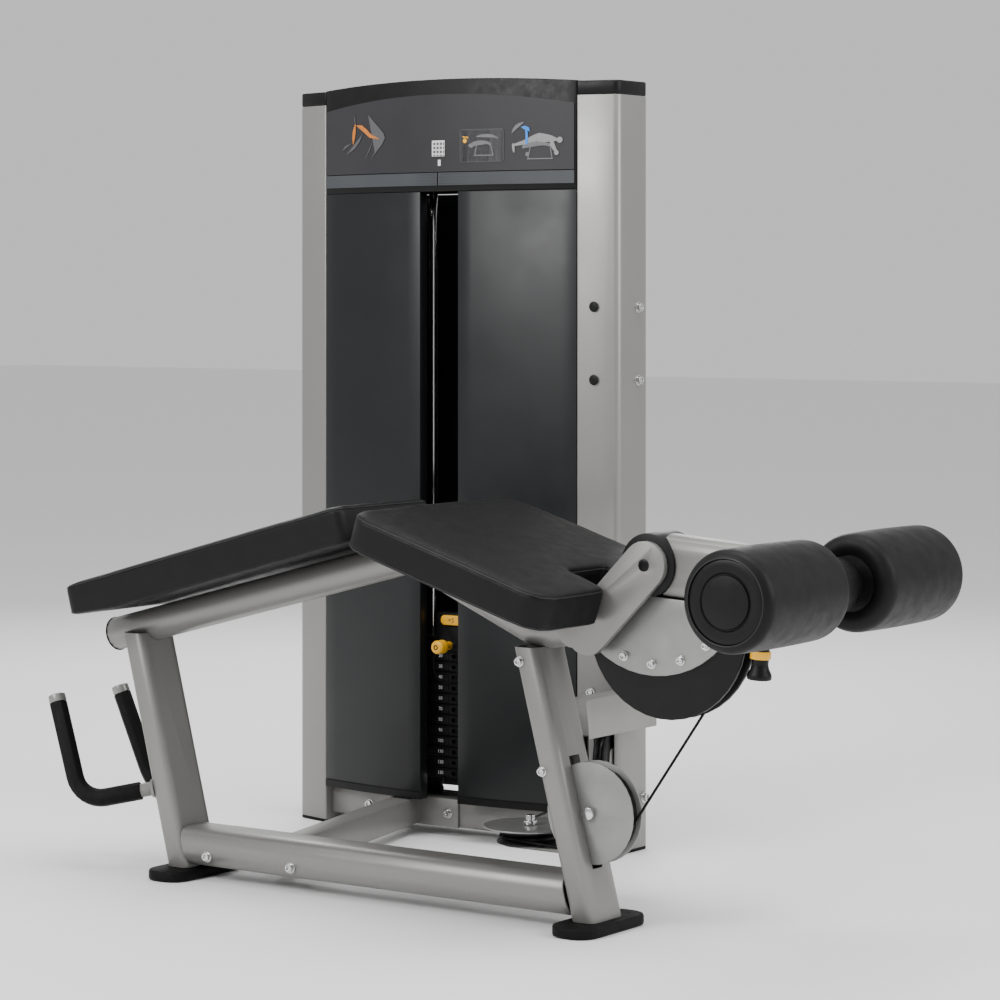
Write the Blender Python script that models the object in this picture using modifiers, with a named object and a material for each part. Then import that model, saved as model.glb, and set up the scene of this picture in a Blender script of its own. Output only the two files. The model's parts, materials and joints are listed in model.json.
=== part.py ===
"""Lying leg curl with a selectorised weight stack.

Modelled in metres, +Z up.  The driving dimensions below are written from the tower's own
reference point: X = 0 at the middle of the tower, Y = 0 at its front chord, Z = 0 at the floor.
The last step hangs everything on one empty, so that the origin is the centre of the footprint.
"""

import math

import bmesh
import bpy
from mathutils import Matrix, Vector

GAP = 0.0003

# Tower
FRONT_RADIUS = 1.55
FRONT_APEX = -0.055
TOWER_BACK = 0.112
UPRIGHT_IN = 0.322
UPRIGHT_OUT = 0.410
UPRIGHT_TOP = 1.528
CAP_TOP = 1.557
FOOT_HEIGHT = 0.006
HEADER_BOTTOM = 1.338
ARCH_TOP = 1.570
ARCH_RADIUS = 4.4
SHIELD_BOTTOM = 0.078
SLOT_LEFT = -0.047
SLOT_RIGHT = 0.050
REAR_BULGE = 0.150
REAR_RADIUS = 1.06
BEAM_LOW = 0.0175
BEAM_HIGH = 0.0765
CROSSMEMBER_LOW = 1.345
CROSSMEMBER_HIGH = 1.375
STACK_Y = 0.050
STACK_LOW = 0.1175
PLATE_PITCH = 0.02215
PLATE_COUNT = 12
HEAD_PLATE_THICK = 0.027
ROD_X = 0.094
ROD_Y = 0.056
ROD_RADIUS = 0.0095

# Bench
BENCH_Y = -0.645
LEG_WIDE = 0.0508
LEG_DEEP = 0.1016
LEG_LEAN = -0.262
LEG_LEFT_X = -0.150
LEG_RIGHT_X = 0.793
FOOT_THICK = 0.020
TUBE_RADIUS = 0.0325
TUBE_LEFT = (-0.350, 0.4555)
TUBE_APEX = (0.382, 0.6455)
TUBE_DIP = (0.672, 0.521)
TUBE_RIGHT = (0.7385, 0.5345)

# Arm
PIVOT = (0.921, 0.657)
ARM_DROP = math.radians(3.9)
ARM_REACH = 0.338
HUB_RADIUS = 0.055
ARM_HIGH = 0.110
ARM_DEEP = 0.075
ARM_END = 0.285
EAR_RADIUS = 0.042
EAR_LENGTH = 0.170
EAR_FACE = 0.055
EAR_THICK = 0.012
SHAFT_RADIUS = 0.0108
SECTOR_RADIUS = 0.195
SECTOR_START = math.radians(-128)
CAM_SHIFT = 0.112
CAM_RADIUS = 0.161
CAM_AIM = math.radians(-78)
CAM_GROOVE = 0.220
ROLLER_RADIUS = 0.085
ROLLER_INNER = 0.068
ROLLER_OUTER = 0.338
AXLE_RADIUS = 0.0125
PIN_ALONG = 0.2125

# Cable and pulleys
CABLE_RADIUS = 0.0025
SMALL_PULLEY = 0.050
FLOOR_PULLEY = 0.0547
LEG_PULLEY = 0.075
LEG_PULLEY_AT = (0.7825, 0.208)
FLOOR_PULLEY_AT = (0.605, -0.590)
FLOOR_GROOVE_Z = 0.1425
ENTRY_AT = (0.3795, 0.002)
ENTRY_Z = FLOOR_GROOVE_Z + SMALL_PULLEY
ENTRY_TURN = math.radians(16)
TOP_PULLEY_Z = 1.440
TOP_OUTER_X = 0.316

PARTS = None
CUTTERS = None
MATERIALS = {}


# ---------------------------------------------------------------- scene and materials


def clear_scene():
    for obj in list(bpy.data.objects):
        bpy.data.objects.remove(obj, do_unlink=True)


def make_collection(name):
    collection = bpy.data.collections.new(name)
    bpy.context.scene.collection.children.link(collection)
    return collection


def make_material(name, colour, roughness, metallic):
    material = bpy.data.materials.new(name)
    material.use_nodes = True
    shader = material.node_tree.nodes["Principled BSDF"]
    shader.inputs["Base Color"].default_value = (*colour, 1)
    shader.inputs["Roughness"].default_value = roughness
    shader.inputs["Metallic"].default_value = metallic
    material.diffuse_color = (*colour, 1)
    MATERIALS[name] = material


def make_materials():
    make_material("silver_paint", (0.60, 0.60, 0.59), 0.38, 0.35)
    make_material("black_vinyl", (0.020, 0.020, 0.021), 0.50, 0.0)
    make_material("charcoal_panel", (0.030, 0.032, 0.034), 0.35, 0.0)
    make_material("black_plastic", (0.020, 0.020, 0.020), 0.45, 0.0)
    make_material("black_rubber", (0.018, 0.018, 0.018), 0.70, 0.0)
    make_material("black_steel", (0.025, 0.025, 0.026), 0.40, 0.3)
    make_material("chrome", (0.80, 0.80, 0.80), 0.12, 1.0)
    make_material("bright_steel", (0.62, 0.62, 0.61), 0.25, 0.9)
    make_material("cast_iron", (0.030, 0.030, 0.032), 0.55, 0.2)
    make_material("yellow_plastic", (0.86, 0.52, 0.03), 0.35, 0.0)


# ---------------------------------------------------------------- outlines and paths


def fillet(points, radius, steps=4, closed=True):
    """The same outline or path, with each corner turned into an arc."""
    points = [Vector(p) for p in points]
    count = len(points)
    radii = radius if isinstance(radius, (list, tuple)) else [radius] * count
    result = []
    for i, corner in enumerate(points):
        end = not closed and i in (0, count - 1)
        if end or radii[i] <= 0:
            result.append(corner)
            continue
        back = (points[i - 1] - corner).normalized()
        ahead = (points[(i + 1) % count] - corner).normalized()
        half = back.angle(ahead) / 2
        reach = radii[i] / math.tan(half)
        centre = corner + (back + ahead).normalized() * radii[i] / math.sin(half)
        first = corner + back * reach - centre
        last = corner + ahead * reach - centre
        sweep = first.angle(last)
        for k in range(steps + 1):
            t = k / steps
            mix = first * math.sin((1 - t) * sweep) + last * math.sin(t * sweep)
            result.append(centre + mix / math.sin(sweep))
    return result


def rectangle(x0, y0, x1, y1, radius=0.0, steps=4):
    return fillet([(x0, y0), (x1, y0), (x1, y1), (x0, y1)], radius, steps)


def arc(centre, radius, start, end, steps):
    angles = [start + (end - start) * k / steps for k in range(steps + 1)]
    return [Vector((centre[0] + radius * math.cos(a), centre[1] + radius * math.sin(a))) for a in angles]


def circle(centre, radius, steps=16):
    return arc(centre, radius, 0, math.tau * (steps - 1) / steps, steps - 1)


def front_y(x, inset=0.0):
    return FRONT_APEX + FRONT_RADIUS - math.sqrt((FRONT_RADIUS - inset) ** 2 - x * x)


def front_arc(x0, x1, inset=0.0, steps=8):
    xs = [x0 + (x1 - x0) * k / steps for k in range(steps + 1)]
    return [Vector((x, front_y(x, inset))) for x in xs]


def spread(points, width):
    """A plan outline of the given width around an open path."""
    points = [Vector(p) for p in points]
    sides = ([], [])
    for i, point in enumerate(points):
        before = (point - points[i - 1]).normalized() if i else None
        after = (points[i + 1] - point).normalized() if i + 1 < len(points) else None
        along = ((before or after) + (after or before)).normalized()
        normal = Vector((-along.y, along.x))
        scale = 1 / max(0.2, along.dot(before or after))
        sides[0].append(point + normal * width / 2 * scale)
        sides[1].append(point - normal * width / 2 * scale)
    return sides[0] + sides[1][::-1]


# ---------------------------------------------------------------- solids


def tidy(mesh):
    work = bmesh.new()
    work.from_mesh(mesh)
    bmesh.ops.remove_doubles(work, verts=work.verts, dist=0.00002)
    bmesh.ops.recalc_face_normals(work, faces=work.faces)
    work.to_mesh(mesh)
    work.free()
    return mesh


def baked(data, setup=None):
    """The mesh that a curve, or a mesh with modifiers, makes."""
    holder = bpy.data.objects.new("holder", data)
    bpy.context.scene.collection.objects.link(holder)
    if setup:
        setup(holder)
    graph = bpy.context.evaluated_depsgraph_get()
    mesh = bpy.data.meshes.new_from_object(holder.evaluated_get(graph))
    bpy.data.objects.remove(holder, do_unlink=True)
    return tidy(mesh)


def add(name, mesh, material, pivot=(0, 0, 0)):
    obj = bpy.data.objects.new(name, mesh)
    mesh.materials.clear()
    mesh.materials.append(MATERIALS[material])
    mesh.transform(Matrix.Translation(-Vector(pivot)))
    obj.location = pivot
    mesh.shade_smooth()
    mesh.set_sharp_from_angle(angle=math.radians(35))
    PARTS.objects.link(obj)
    return obj


def slab(loops, thickness, place):
    """A flat outline, with any inner loops as holes, given a thickness along the local Z."""
    if not isinstance(loops[0], (list, tuple)):
        loops = [loops]
    curve = bpy.data.curves.new("outline", "CURVE")
    curve.dimensions = "2D"
    curve.fill_mode = "BOTH"
    curve.extrude = thickness / 2
    for loop in loops:
        spline = curve.splines.new("POLY")
        spline.points.add(len(loop) - 1)
        spline.use_cyclic_u = True
        for point, at in zip(spline.points, loop):
            point.co = (at[0], at[1], 0, 1)
    mesh = baked(curve)
    mesh.transform(place @ Matrix.Translation((0, 0, thickness / 2)))
    return tidy(mesh)


def flat(z):
    """Outline in X and Y, thickness upward from z."""
    return Matrix.Translation((0, 0, z))


def facing(y):
    """Outline in X and Z, thickness from y towards the front."""
    return Matrix(((1, 0, 0, 0), (0, 0, -1, y), (0, 1, 0, 0), (0, 0, 0, 1)))


def across(x):
    """Outline in Y and Z, thickness from x towards +X."""
    return Matrix(((0, 0, 1, x), (1, 0, 0, 0), (0, 1, 0, 0), (0, 0, 0, 1)))


def lean():
    """The legs' slope: X shifts with height."""
    shear = Matrix.Identity(4)
    shear[0][2] = LEG_LEAN
    return shear


def arm_frame():
    """Local X runs along the arm from the pivot, local Y is up from it, local Z towards the front."""
    along = Vector((math.cos(ARM_DROP), 0, -math.sin(ARM_DROP)))
    up = Vector((math.sin(ARM_DROP), 0, math.cos(ARM_DROP)))
    front = along.cross(up)
    frame = Matrix((along, up, front)).transposed().to_4x4()
    return Matrix.Translation((PIVOT[0], BENCH_Y, PIVOT[1])) @ frame


def block(low, high):
    mesh = bpy.data.meshes.new("block")
    work = bmesh.new()
    bmesh.ops.create_cube(work, size=1)
    size = [high[i] - low[i] for i in range(3)]
    middle = [(high[i] + low[i]) / 2 for i in range(3)]
    bmesh.ops.scale(work, vec=size, verts=work.verts)
    bmesh.ops.translate(work, vec=middle, verts=work.verts)
    work.to_mesh(mesh)
    work.free()
    return mesh


def turned(profile, base, axis, steps=20):
    """A profile of (radius, height) pairs turned about the axis through base."""
    mesh = bpy.data.meshes.new("profile")
    work = bmesh.new()
    verts = [work.verts.new((r, 0, h)) for r, h in profile]
    closed = min(r for r, h in profile) > 0
    for i in range(len(verts) - (0 if closed else 1)):
        work.edges.new((verts[i], verts[(i + 1) % len(verts)]))
    work.to_mesh(mesh)
    work.free()

    def screw(holder):
        modifier = holder.modifiers.new("turn", "SCREW")
        modifier.steps = steps
        modifier.render_steps = steps
        modifier.use_merge_vertices = True
        modifier.merge_threshold = 0.00005

    solid = baked(mesh, screw)
    turn = Vector((0, 0, 1)).rotation_difference(Vector(axis).normalized())
    solid.transform(Matrix.Translation(base) @ turn.to_matrix().to_4x4())
    return solid


def rod(base, axis, length, radius, steps=16):
    return turned([(0, 0), (radius, 0), (radius, length), (0, length)], base, axis, steps)


def ring(base, axis, length, inner, outer, steps=20):
    profile = [(inner, 0), (outer, 0), (outer, length), (inner, length)]
    return turned(profile, base, axis, steps)


def tube(points, radius, wall=None, sides=16):
    """A round tube along a path. With a wall it is open at both ends, and without one it is solid."""
    curve = bpy.data.curves.new("path", "CURVE")
    curve.dimensions = "3D"
    curve.bevel_depth = radius
    curve.bevel_resolution = sides // 4 - 1 if sides >= 8 else 1
    curve.use_fill_caps = wall is None
    spline = curve.splines.new("POLY")
    spline.points.add(len(points) - 1)
    for point, at in zip(spline.points, points):
        point.co = (*at, 1)
    mesh = baked(curve)
    if wall is None:
        return mesh

    def thicken(holder):
        modifier = holder.modifiers.new("wall", "SOLIDIFY")
        modifier.thickness = wall
        modifier.offset = -1

    return baked(mesh, thicken)


def boolean(target, meshes, operation):
    for mesh in meshes:
        cutter = bpy.data.objects.new(target.name + "_tool", mesh)
        cutter.hide_render = True
        cutter.display_type = "WIRE"
        CUTTERS.objects.link(cutter)
        if target.location.length > 0:
            mesh.transform(Matrix.Translation(-target.location))
            cutter.location = target.location
        modifier = target.modifiers.new("boolean", "BOOLEAN")
        modifier.operation = operation
        modifier.solver = "EXACT"
        modifier.object = cutter
    return target


def cut(target, *meshes):
    return boolean(target, meshes, "DIFFERENCE")


def join(target, *meshes):
    return boolean(target, meshes, "UNION")


# ---------------------------------------------------------------- tower


def upright_outline(side, inset=0.0):
    inner, outer = UPRIGHT_IN + inset, UPRIGHT_OUT - inset
    corners = [
        (side * inner, front_y(inner, inset)),
        (side * outer, front_y(outer, inset)),
        (side * outer, TOWER_BACK - inset),
        (side * inner, TOWER_BACK - inset),
    ]
    rounding = max(0.016 - inset, 0.003)
    return fillet(corners, [0.003, rounding, rounding, 0.003], 4)


def upright(side, name):
    loops = [upright_outline(side), upright_outline(side, 0.003)]
    low = FOOT_HEIGHT + GAP
    post = add("upright_" + name, slab(loops, UPRIGHT_TOP - low, flat(low)), "silver_paint")
    if side > 0:
        entry = block((0.358, -0.030, ENTRY_Z - 0.062), (0.400, 0.020, ENTRY_Z + 0.062))
        top_low = (0.315, STACK_Y - 0.0140, TOP_PULLEY_Z - 0.062)
        top_high = (0.330, STACK_Y + 0.0140, TOP_PULLEY_Z + 0.062)
        cut(post, entry, block(top_low, top_high))
    cap_low = UPRIGHT_TOP + GAP
    add("upright_cap_" + name, slab(upright_outline(side), CAP_TOP - cap_low, flat(cap_low)), "black_plastic")
    foot = slab(upright_outline(side), FOOT_HEIGHT, flat(0))
    add("upright_foot_" + name, foot, "black_rubber")


def arch_cutter(drop):
    """Everything above the header's arch, lowered by drop."""
    half = 0.36
    steps = 12
    xs = [-half + 2 * half * k / steps for k in range(steps + 1)]
    edge = [(x, ARCH_TOP - drop - x * x / (2 * ARCH_RADIUS)) for x in xs]
    outline = edge + [(half, ARCH_TOP + 0.1), (-half, ARCH_TOP + 0.1)]
    return slab([Vector(p) for p in outline], 0.3, facing(0.2))


def header():
    half = UPRIGHT_IN - GAP
    wall = 0.004
    outline = front_arc(-half, half) + [Vector((half, TOWER_BACK)), Vector((-half, TOWER_BACK))]
    body = add("header_housing", slab(outline, 0.26, flat(HEADER_BOTTOM)), "black_plastic")
    wide = 0.34
    inner = front_arc(-wide, wide, wall)
    inner += [Vector((wide, TOWER_BACK - wall)), Vector((-wide, TOWER_BACK - wall))]
    hollow_top = ARCH_TOP - wall - half * half / (2 * ARCH_RADIUS)
    hollow = slab(inner, hollow_top - HEADER_BOTTOM + 0.02, flat(HEADER_BOTTOM - 0.02))
    cut(body, arch_cutter(0.0), hollow)


def shield(name, x0, x1, flange_x):
    """A curved sheet with a return flange along the slot."""
    thick = 0.003
    turn = 0.026
    front = front_arc(x0, x1)
    back = front_arc(x1, x0, thick)
    if flange_x == x1:
        back[0] = Vector((x1 - thick, front_y(x1, thick)))
        outline = front + [Vector((x1, front_y(x1) + turn)), Vector((x1 - thick, front_y(x1) + turn))] + back
    else:
        back[-1] = Vector((x0 + thick, front_y(x0, thick)))
        outline = front + back + [Vector((x0 + thick, front_y(x0) + turn)), Vector((x0, front_y(x0) + turn))]
    sheet = slab(outline, HEADER_BOTTOM - GAP - SHIELD_BOTTOM, flat(SHIELD_BOTTOM))
    add(name, sheet, "charcoal_panel")


def rear_shield():
    half = UPRIGHT_IN - GAP
    steps = 10
    xs = [-half + 2 * half * k / steps for k in range(steps + 1)]
    outside = [Vector((x, REAR_BULGE - x * x / (2 * REAR_RADIUS))) for x in xs]
    inside = [point - Vector((0, 0.003)) for point in outside[::-1]]
    sheet = slab(outside + inside, HEADER_BOTTOM - GAP - 0.078, flat(0.078))
    add("rear_shield", sheet, "charcoal_panel")


def tower_frame():
    half = UPRIGHT_IN - GAP
    beam_loops = [rectangle(0.0, BEAM_LOW, 0.1, BEAM_HIGH, 0.006, 2)]
    beam_loops.append(rectangle(0.003, BEAM_LOW + 0.003, 0.097, BEAM_HIGH - 0.003, 0.003, 2))
    add("base_beam", slab(beam_loops, 2 * half, across(-half)), "silver_paint")
    member = slab(rectangle(0.020, CROSSMEMBER_LOW, 0.090, CROSSMEMBER_HIGH), 2 * half, across(-half))
    member = add("top_crossmember", member, "black_steel")
    cut(member, rod((0, STACK_Y, CROSSMEMBER_LOW - 0.01), (0, 0, 1), 0.05, 0.010, 12))
    for x0, x1, centre in ((0.288, 0.3205, TOP_OUTER_X - 0.008), (0.032, 0.068, SMALL_PULLEY)):
        for y in (STACK_Y - 0.0165, STACK_Y + 0.0135):
            low = (x0, y, CROSSMEMBER_HIGH - 0.001)
            join(member, block(low, (x1, y + 0.003, TOP_PULLEY_Z + 0.015)))
    for x in (TOP_OUTER_X, SMALL_PULLEY):
        join(member, rod((x, STACK_Y - 0.019, TOP_PULLEY_Z), (0, 1, 0), 0.038, 0.006, 12))


def guide_rods():
    low = BEAM_HIGH + GAP
    for side, name in ((-1, "left"), (1, "right")):
        length = CROSSMEMBER_LOW - GAP - low
        add("guide_rod_" + name, rod((side * ROD_X, ROD_Y, low), (0, 0, 1), length, ROD_RADIUS, 16), "chrome")


# ---------------------------------------------------------------- weight stack


def stack_holes(low, length):
    holes = [rod((0, STACK_Y, low), (0, 0, 1), length, 0.0135, 12)]
    for side in (-1, 1):
        holes.append(rod((side * ROD_X, ROD_Y, low), (0, 0, 1), length, ROD_RADIUS + 0.0015, 12))
    return holes


def head_pin_z():
    return STACK_LOW + PLATE_COUNT * PLATE_PITCH + HEAD_PLATE_THICK / 2


def weight_plates():
    """Twelve plates, joined at their cores and parted by a groove at the front."""
    outline = []
    for i in range(PLATE_COUNT):
        low = STACK_LOW + i * PLATE_PITCH
        high = low + PLATE_PITCH
        front = [(0.006, low + 0.0004), (0.0, low + 0.0010), (0.0, high - 0.0010), (0.006, high - 0.0004)]
        outline += [Vector(p) for p in front]
    top = STACK_LOW + PLATE_COUNT * PLATE_PITCH - GAP
    outline[-1] = Vector((0.0015, top))
    outline[0] = Vector((0.0015, STACK_LOW))
    outline += [Vector((0.1, top)), Vector((0.1, STACK_LOW))]
    stack = add("weight_plates", slab(outline, 0.26, across(-0.13)), "cast_iron")
    cut(stack, *stack_holes(STACK_LOW - 0.01, 0.3))
    for i in range(PLATE_COUNT):
        z = STACK_LOW + (i + 0.5) * PLATE_PITCH
        cut(stack, rod((0, -0.01, z), (0, 1, 0), 0.055, 0.005, 8))


def lifting_group():
    low = STACK_LOW + PLATE_COUNT * PLATE_PITCH
    high = low + HEAD_PLATE_THICK
    pin_z = head_pin_z()
    head = add("head_plate", block((-0.13, 0.0, low), (0.13, 0.1, high)), "cast_iron")
    join(head, block((-0.045, 0.0, high - 0.001), (0.045, 0.030, high + 0.052)))
    cut(head, rod((0, STACK_Y, low - 0.01), (0, 0, 1), 0.1, 0.0118, 16))
    for side in (-1, 1):
        cut(head, rod((side * ROD_X, ROD_Y, low - 0.01), (0, 0, 1), 0.1, ROD_RADIUS + 0.0007, 16))
    cut(head, rod((0, -0.01, pin_z), (0, 1, 0), 0.055, 0.0045, 10))
    bottom = STACK_LOW + 0.008
    top = high + 0.060
    profile = [(0, bottom), (0.0115, bottom), (0.0115, top - 0.012)]
    profile += [(0.0070, top - 0.004), (0.0070, top), (0, top)]
    selector = add("selector_rod", turned(profile, (0, STACK_Y, 0), (0, 0, 1), 16), "bright_steel")
    cut(selector, rod((0, STACK_Y - 0.02, pin_z), (0, 1, 0), 0.04, 0.0045, 10))
    pin = [(0, -0.063), (0.011, -0.063), (0.0140, -0.058), (0.0140, -0.036), (0.0090, -0.030)]
    pin += [(0.0085, -0.014), (0.0042, -0.013), (0.0042, 0.058), (0.0030, 0.0605), (0, 0.0605)]
    add("selector_pin", turned(pin, (0, 0, pin_z), (0, 1, 0), 16), "yellow_plastic")
    oblong = rectangle(-0.0275, high + 0.028, 0.0275, high + 0.048, 0.0099, 5)
    add("increment_slider", slab(oblong, 0.009, facing(-GAP)), "yellow_plastic")
    lanyard(pin_z)


def lanyard(pin_z):
    """A short cord from under the pin's head, round to an eye at the front of the head plate."""
    route = [
        (-0.0100, -0.0230, pin_z),
        (-0.0190, -0.0240, pin_z - 0.003),
        (-0.0300, -0.0250, pin_z - 0.016),
        (-0.0335, -0.0250, pin_z - 0.040),
        (-0.0270, -0.0240, pin_z - 0.064),
        (-0.0100, -0.0220, pin_z - 0.077),
        (0.0100, -0.0210, pin_z - 0.074),
        (0.0260, -0.0200, pin_z - 0.056),
        (0.0330, -0.0170, pin_z - 0.030),
        (0.0340, -0.0090, pin_z - 0.012),
        (0.0330, -0.0010, pin_z - 0.005),
    ]
    add("pin_lanyard", tube(smooth(route, 3), 0.0016, None, 8), "black_rubber")


def smooth(route, per_span):
    """Points on a smooth curve through the route's own points."""
    points = [Vector(p) for p in route]
    points = [2 * points[0] - points[1]] + points + [2 * points[-1] - points[-2]]
    result = []
    for i in range(1, len(points) - 2):
        a, b, c, d = points[i - 1 : i + 3]
        for k in range(per_span):
            t = k / per_span
            result.append(
                0.5
                * (
                    2 * b
                    + (c - a) * t
                    + (2 * a - 5 * b + 4 * c - d) * t**2
                    + (3 * b - a - 3 * c + d) * t**3
                )
            )
    return result + [points[-2]]


# ---------------------------------------------------------------- bench frame


def leg(name, base_x, top, copes):
    half = LEG_WIDE / 2
    deep = LEG_DEEP / 2
    outer = rectangle(base_x - half, BENCH_Y - deep, base_x + half, BENCH_Y + deep, 0.015, 4)
    inset = 0.004
    inner = rectangle(
        base_x - half + inset, BENCH_Y - deep + inset, base_x + half - inset, BENCH_Y + deep - inset, 0.011, 3
    )
    low = FOOT_THICK + GAP
    mesh = slab([outer, inner], top - low, flat(low))
    mesh.transform(lean())
    post = add("leg_" + name, mesh, "silver_paint")
    cut(post, *copes)
    return post


def top_path():
    corners = [TUBE_LEFT, TUBE_APEX, TUBE_DIP, TUBE_RIGHT]
    return [(p.x, BENCH_Y, p.y) for p in fillet(corners, [0, 0.10, 0.09, 0], 5, False)]


def legs():
    path = top_path()
    cope = tube(path, TUBE_RADIUS + GAP, None, 24)
    leg("left", LEG_LEFT_X, 0.4655, [cope.copy()])
    slot_low = (0.60, BENCH_Y - 0.0158, LEG_PULLEY_AT[1] - 0.098)
    slot_high = (0.90, BENCH_Y + 0.0158, LEG_PULLEY_AT[1] + 0.098)
    leg("right", LEG_RIGHT_X, 0.4975, [cope, block(slot_low, slot_high)])
    for name, x in (("left", LEG_LEFT_X), ("right", LEG_RIGHT_X)):
        middle = x + LEG_LEAN * FOOT_THICK / 2 - 0.002
        outline = rectangle(middle - 0.045, BENCH_Y - 0.103, middle + 0.045, BENCH_Y + 0.109, 0.038, 6)
        add("foot_" + name, slab(outline, FOOT_THICK, flat(0)), "black_rubber")


def base_tubes():
    half = LEG_WIDE / 2
    deep = LEG_DEEP / 2
    left, right = LEG_LEFT_X + half + GAP, LEG_RIGHT_X - half - GAP
    outer = rectangle(BENCH_Y - deep, 0.0257, BENCH_Y + deep, 0.0984, 0.028, 5)
    inner = rectangle(BENCH_Y - deep + 0.004, 0.0297, BENCH_Y + deep - 0.004, 0.0944, 0.024, 4)
    mesh = slab([outer, inner], right - left, across(left))
    mesh.transform(lean())
    add("base_tube", mesh, "silver_paint")
    path = [(0.0411, BENCH_Y), (-0.124, 0.050)]
    near = BENCH_Y + deep + GAP
    cross = add("cross_tube", slab(spread(path, 0.0508), 0.055, flat(0.0205)), "silver_paint")
    cut(cross, block((-0.2, -0.003, 0), (0.2, 0.2, 0.1)))
    cut(cross, block((-0.2, near - 0.2, 0), (0.2, near + 0.003, 0.1)))
    join(cross, block((-0.100, near, 0.032), (0.155, near + 0.006, 0.092)))
    join(cross, block((-0.240, -0.006 - GAP, BEAM_LOW), (0.015, -GAP, BEAM_HIGH)))


def link_tube():
    x = UPRIGHT_OUT + GAP + 0.0254
    leg_back = BENCH_Y + LEG_DEEP / 2 + GAP
    path = fillet([(x, 0.062), (x, -0.200), (0.738, -0.640)], [0, 0.08, 0], 4, False)
    link = add("link_tube", slab(spread(path, 0.0508), 0.077, flat(0.258)), "silver_paint")
    hollow = fillet([(x, 0.092), (x, -0.200), (0.749, -0.656)], [0, 0.08, 0], 4, False)
    beyond = block((0.60, leg_back - 0.2, 0.20), (0.90, leg_back, 0.40))
    cut(link, slab(spread(hollow, 0.0448), 0.071, flat(0.261)), beyond)


def top_tube():
    """The bent tube, with two welded brackets that carry the hip pad's board."""
    bent = add("top_tube", tube(top_path(), TUBE_RADIUS, 0.003, 24), "silver_paint")
    fall = (TUBE_DIP[1] - TUBE_APEX[1]) / (TUBE_DIP[0] - TUBE_APEX[0])
    for x in (0.475, 0.610):
        tube_z = TUBE_APEX[1] + (x - TUBE_APEX[0]) * fall
        left, right = (0.6798 - 0.31 * (place - 0.3985) for place in (x - 0.025, x + 0.025))
        flange = [(x - 0.025, left - 0.005), (x + 0.025, right - 0.005)]
        flange += [(x + 0.025, right), (x - 0.025, left)]
        web = [(x - 0.018, tube_z + 0.030), (x + 0.018, tube_z + 0.022)]
        web += [(x + 0.018, right), (x - 0.018, right)]
        flange, web = ([Vector(p) for p in loop] for loop in (flange, web))
        join(bent, slab(web, 0.022, facing(BENCH_Y + 0.011)))
        join(bent, slab(flange, 0.160, facing(BENCH_Y + 0.080)))


def fork():
    reach = EAR_LENGTH * math.sqrt(0.5)
    end = (PIVOT[0] - reach, PIVOT[1] - reach * 1.02)
    tilt = math.atan2(PIVOT[1] - end[1], PIVOT[0] - end[0])
    strap = arc(PIVOT, EAR_RADIUS, tilt - math.pi / 2, tilt + math.pi / 2, 12)
    strap += arc(end, EAR_RADIUS, tilt + math.pi / 2, tilt + 1.5 * math.pi, 12)
    loops = [strap, circle(PIVOT, SHAFT_RADIUS + GAP, 20)]
    near = BENCH_Y - EAR_FACE
    ears = add("pivot_fork", slab(loops, EAR_THICK, facing(near + EAR_THICK)), "silver_paint")
    far = slab(loops, EAR_THICK, facing(BENCH_Y + EAR_FACE))
    bridge = rod((0.770, near + 0.002, 0.5345), (0, 1, 0), 2 * EAR_FACE - 0.004, 0.0305, 24)
    join(ears, bridge, far)
    shaft = rod((PIVOT[0], near + 0.001, PIVOT[1]), (0, 1, 0), 2 * EAR_FACE - 0.002, SHAFT_RADIUS, 20)
    add("pivot_shaft", shaft, "black_steel")


# ---------------------------------------------------------------- pads and handles


def pad(name, outline, half_width, corner):
    """A cushion: its side outline, made as wide as the pad, then trimmed to round corners in plan."""
    mesh = slab(fillet([Vector(p) for p in outline], 0.012, 3), 2 * half_width, facing(BENCH_Y + half_width))
    cushion = add(name, mesh, "black_vinyl")
    xs = [p[0] for p in outline]
    plan = rectangle(min(xs), BENCH_Y - half_width, max(xs), BENCH_Y + half_width, corner, 5)
    around = rectangle(min(xs) - 0.1, BENCH_Y - 0.5, max(xs) + 0.1, BENCH_Y + 0.5)
    cut(cushion, slab([around, plan], 0.5, flat(0.4)))
    return cushion


def pads():
    head = [(-0.331, 0.502), (-0.209, 0.5272), (0.336, 0.676), (0.3165, 0.7455), (-0.339, 0.5665)]
    pad("head_pad", head, 0.148, 0.025)
    hip = [(0.3985, 0.6810), (0.8340, 0.5460), (0.8543, 0.6111), (0.4186, 0.7466)]
    seat = pad("hip_pad", hip, 0.262, 0.045)
    notch = 0.058
    cut(seat, block((0.768, BENCH_Y - notch, 0.5), (0.95, BENCH_Y + notch, 0.7)))


def handle_path(side):
    offset = [(-0.2235, 0.033, 0.1650), (-0.3500, 0.108, 0.1360), (-0.4290, 0.092, 0.3350)]
    corners = [(x, BENCH_Y + side * y, z) for x, y, z in offset]
    return fillet(corners, [0, 0.055, 0], 8, False)


def handles():
    for side, name in ((-1, "near"), (1, "far")):
        path = handle_path(side)
        bar = tube(path, 0.0135, 0.0025, 12)
        add("handle_" + name, bar, "silver_paint")
        start = path[0].lerp(path[1], 0.28)
        stop = path[-1].lerp(path[-2], 0.08)
        sleeve = tube([start] + path[1:-1] + [stop], 0.018, 0.018 - 0.0135 - GAP, 12)
        add("grip_" + name, sleeve, "black_rubber")


# ---------------------------------------------------------------- arm


def arm_underside(radius):
    """Angle at which a circle about the pivot meets the arm's underside."""
    return -ARM_DROP - math.asin((ARM_HIGH / 2 + 2 * GAP) / radius)


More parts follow.
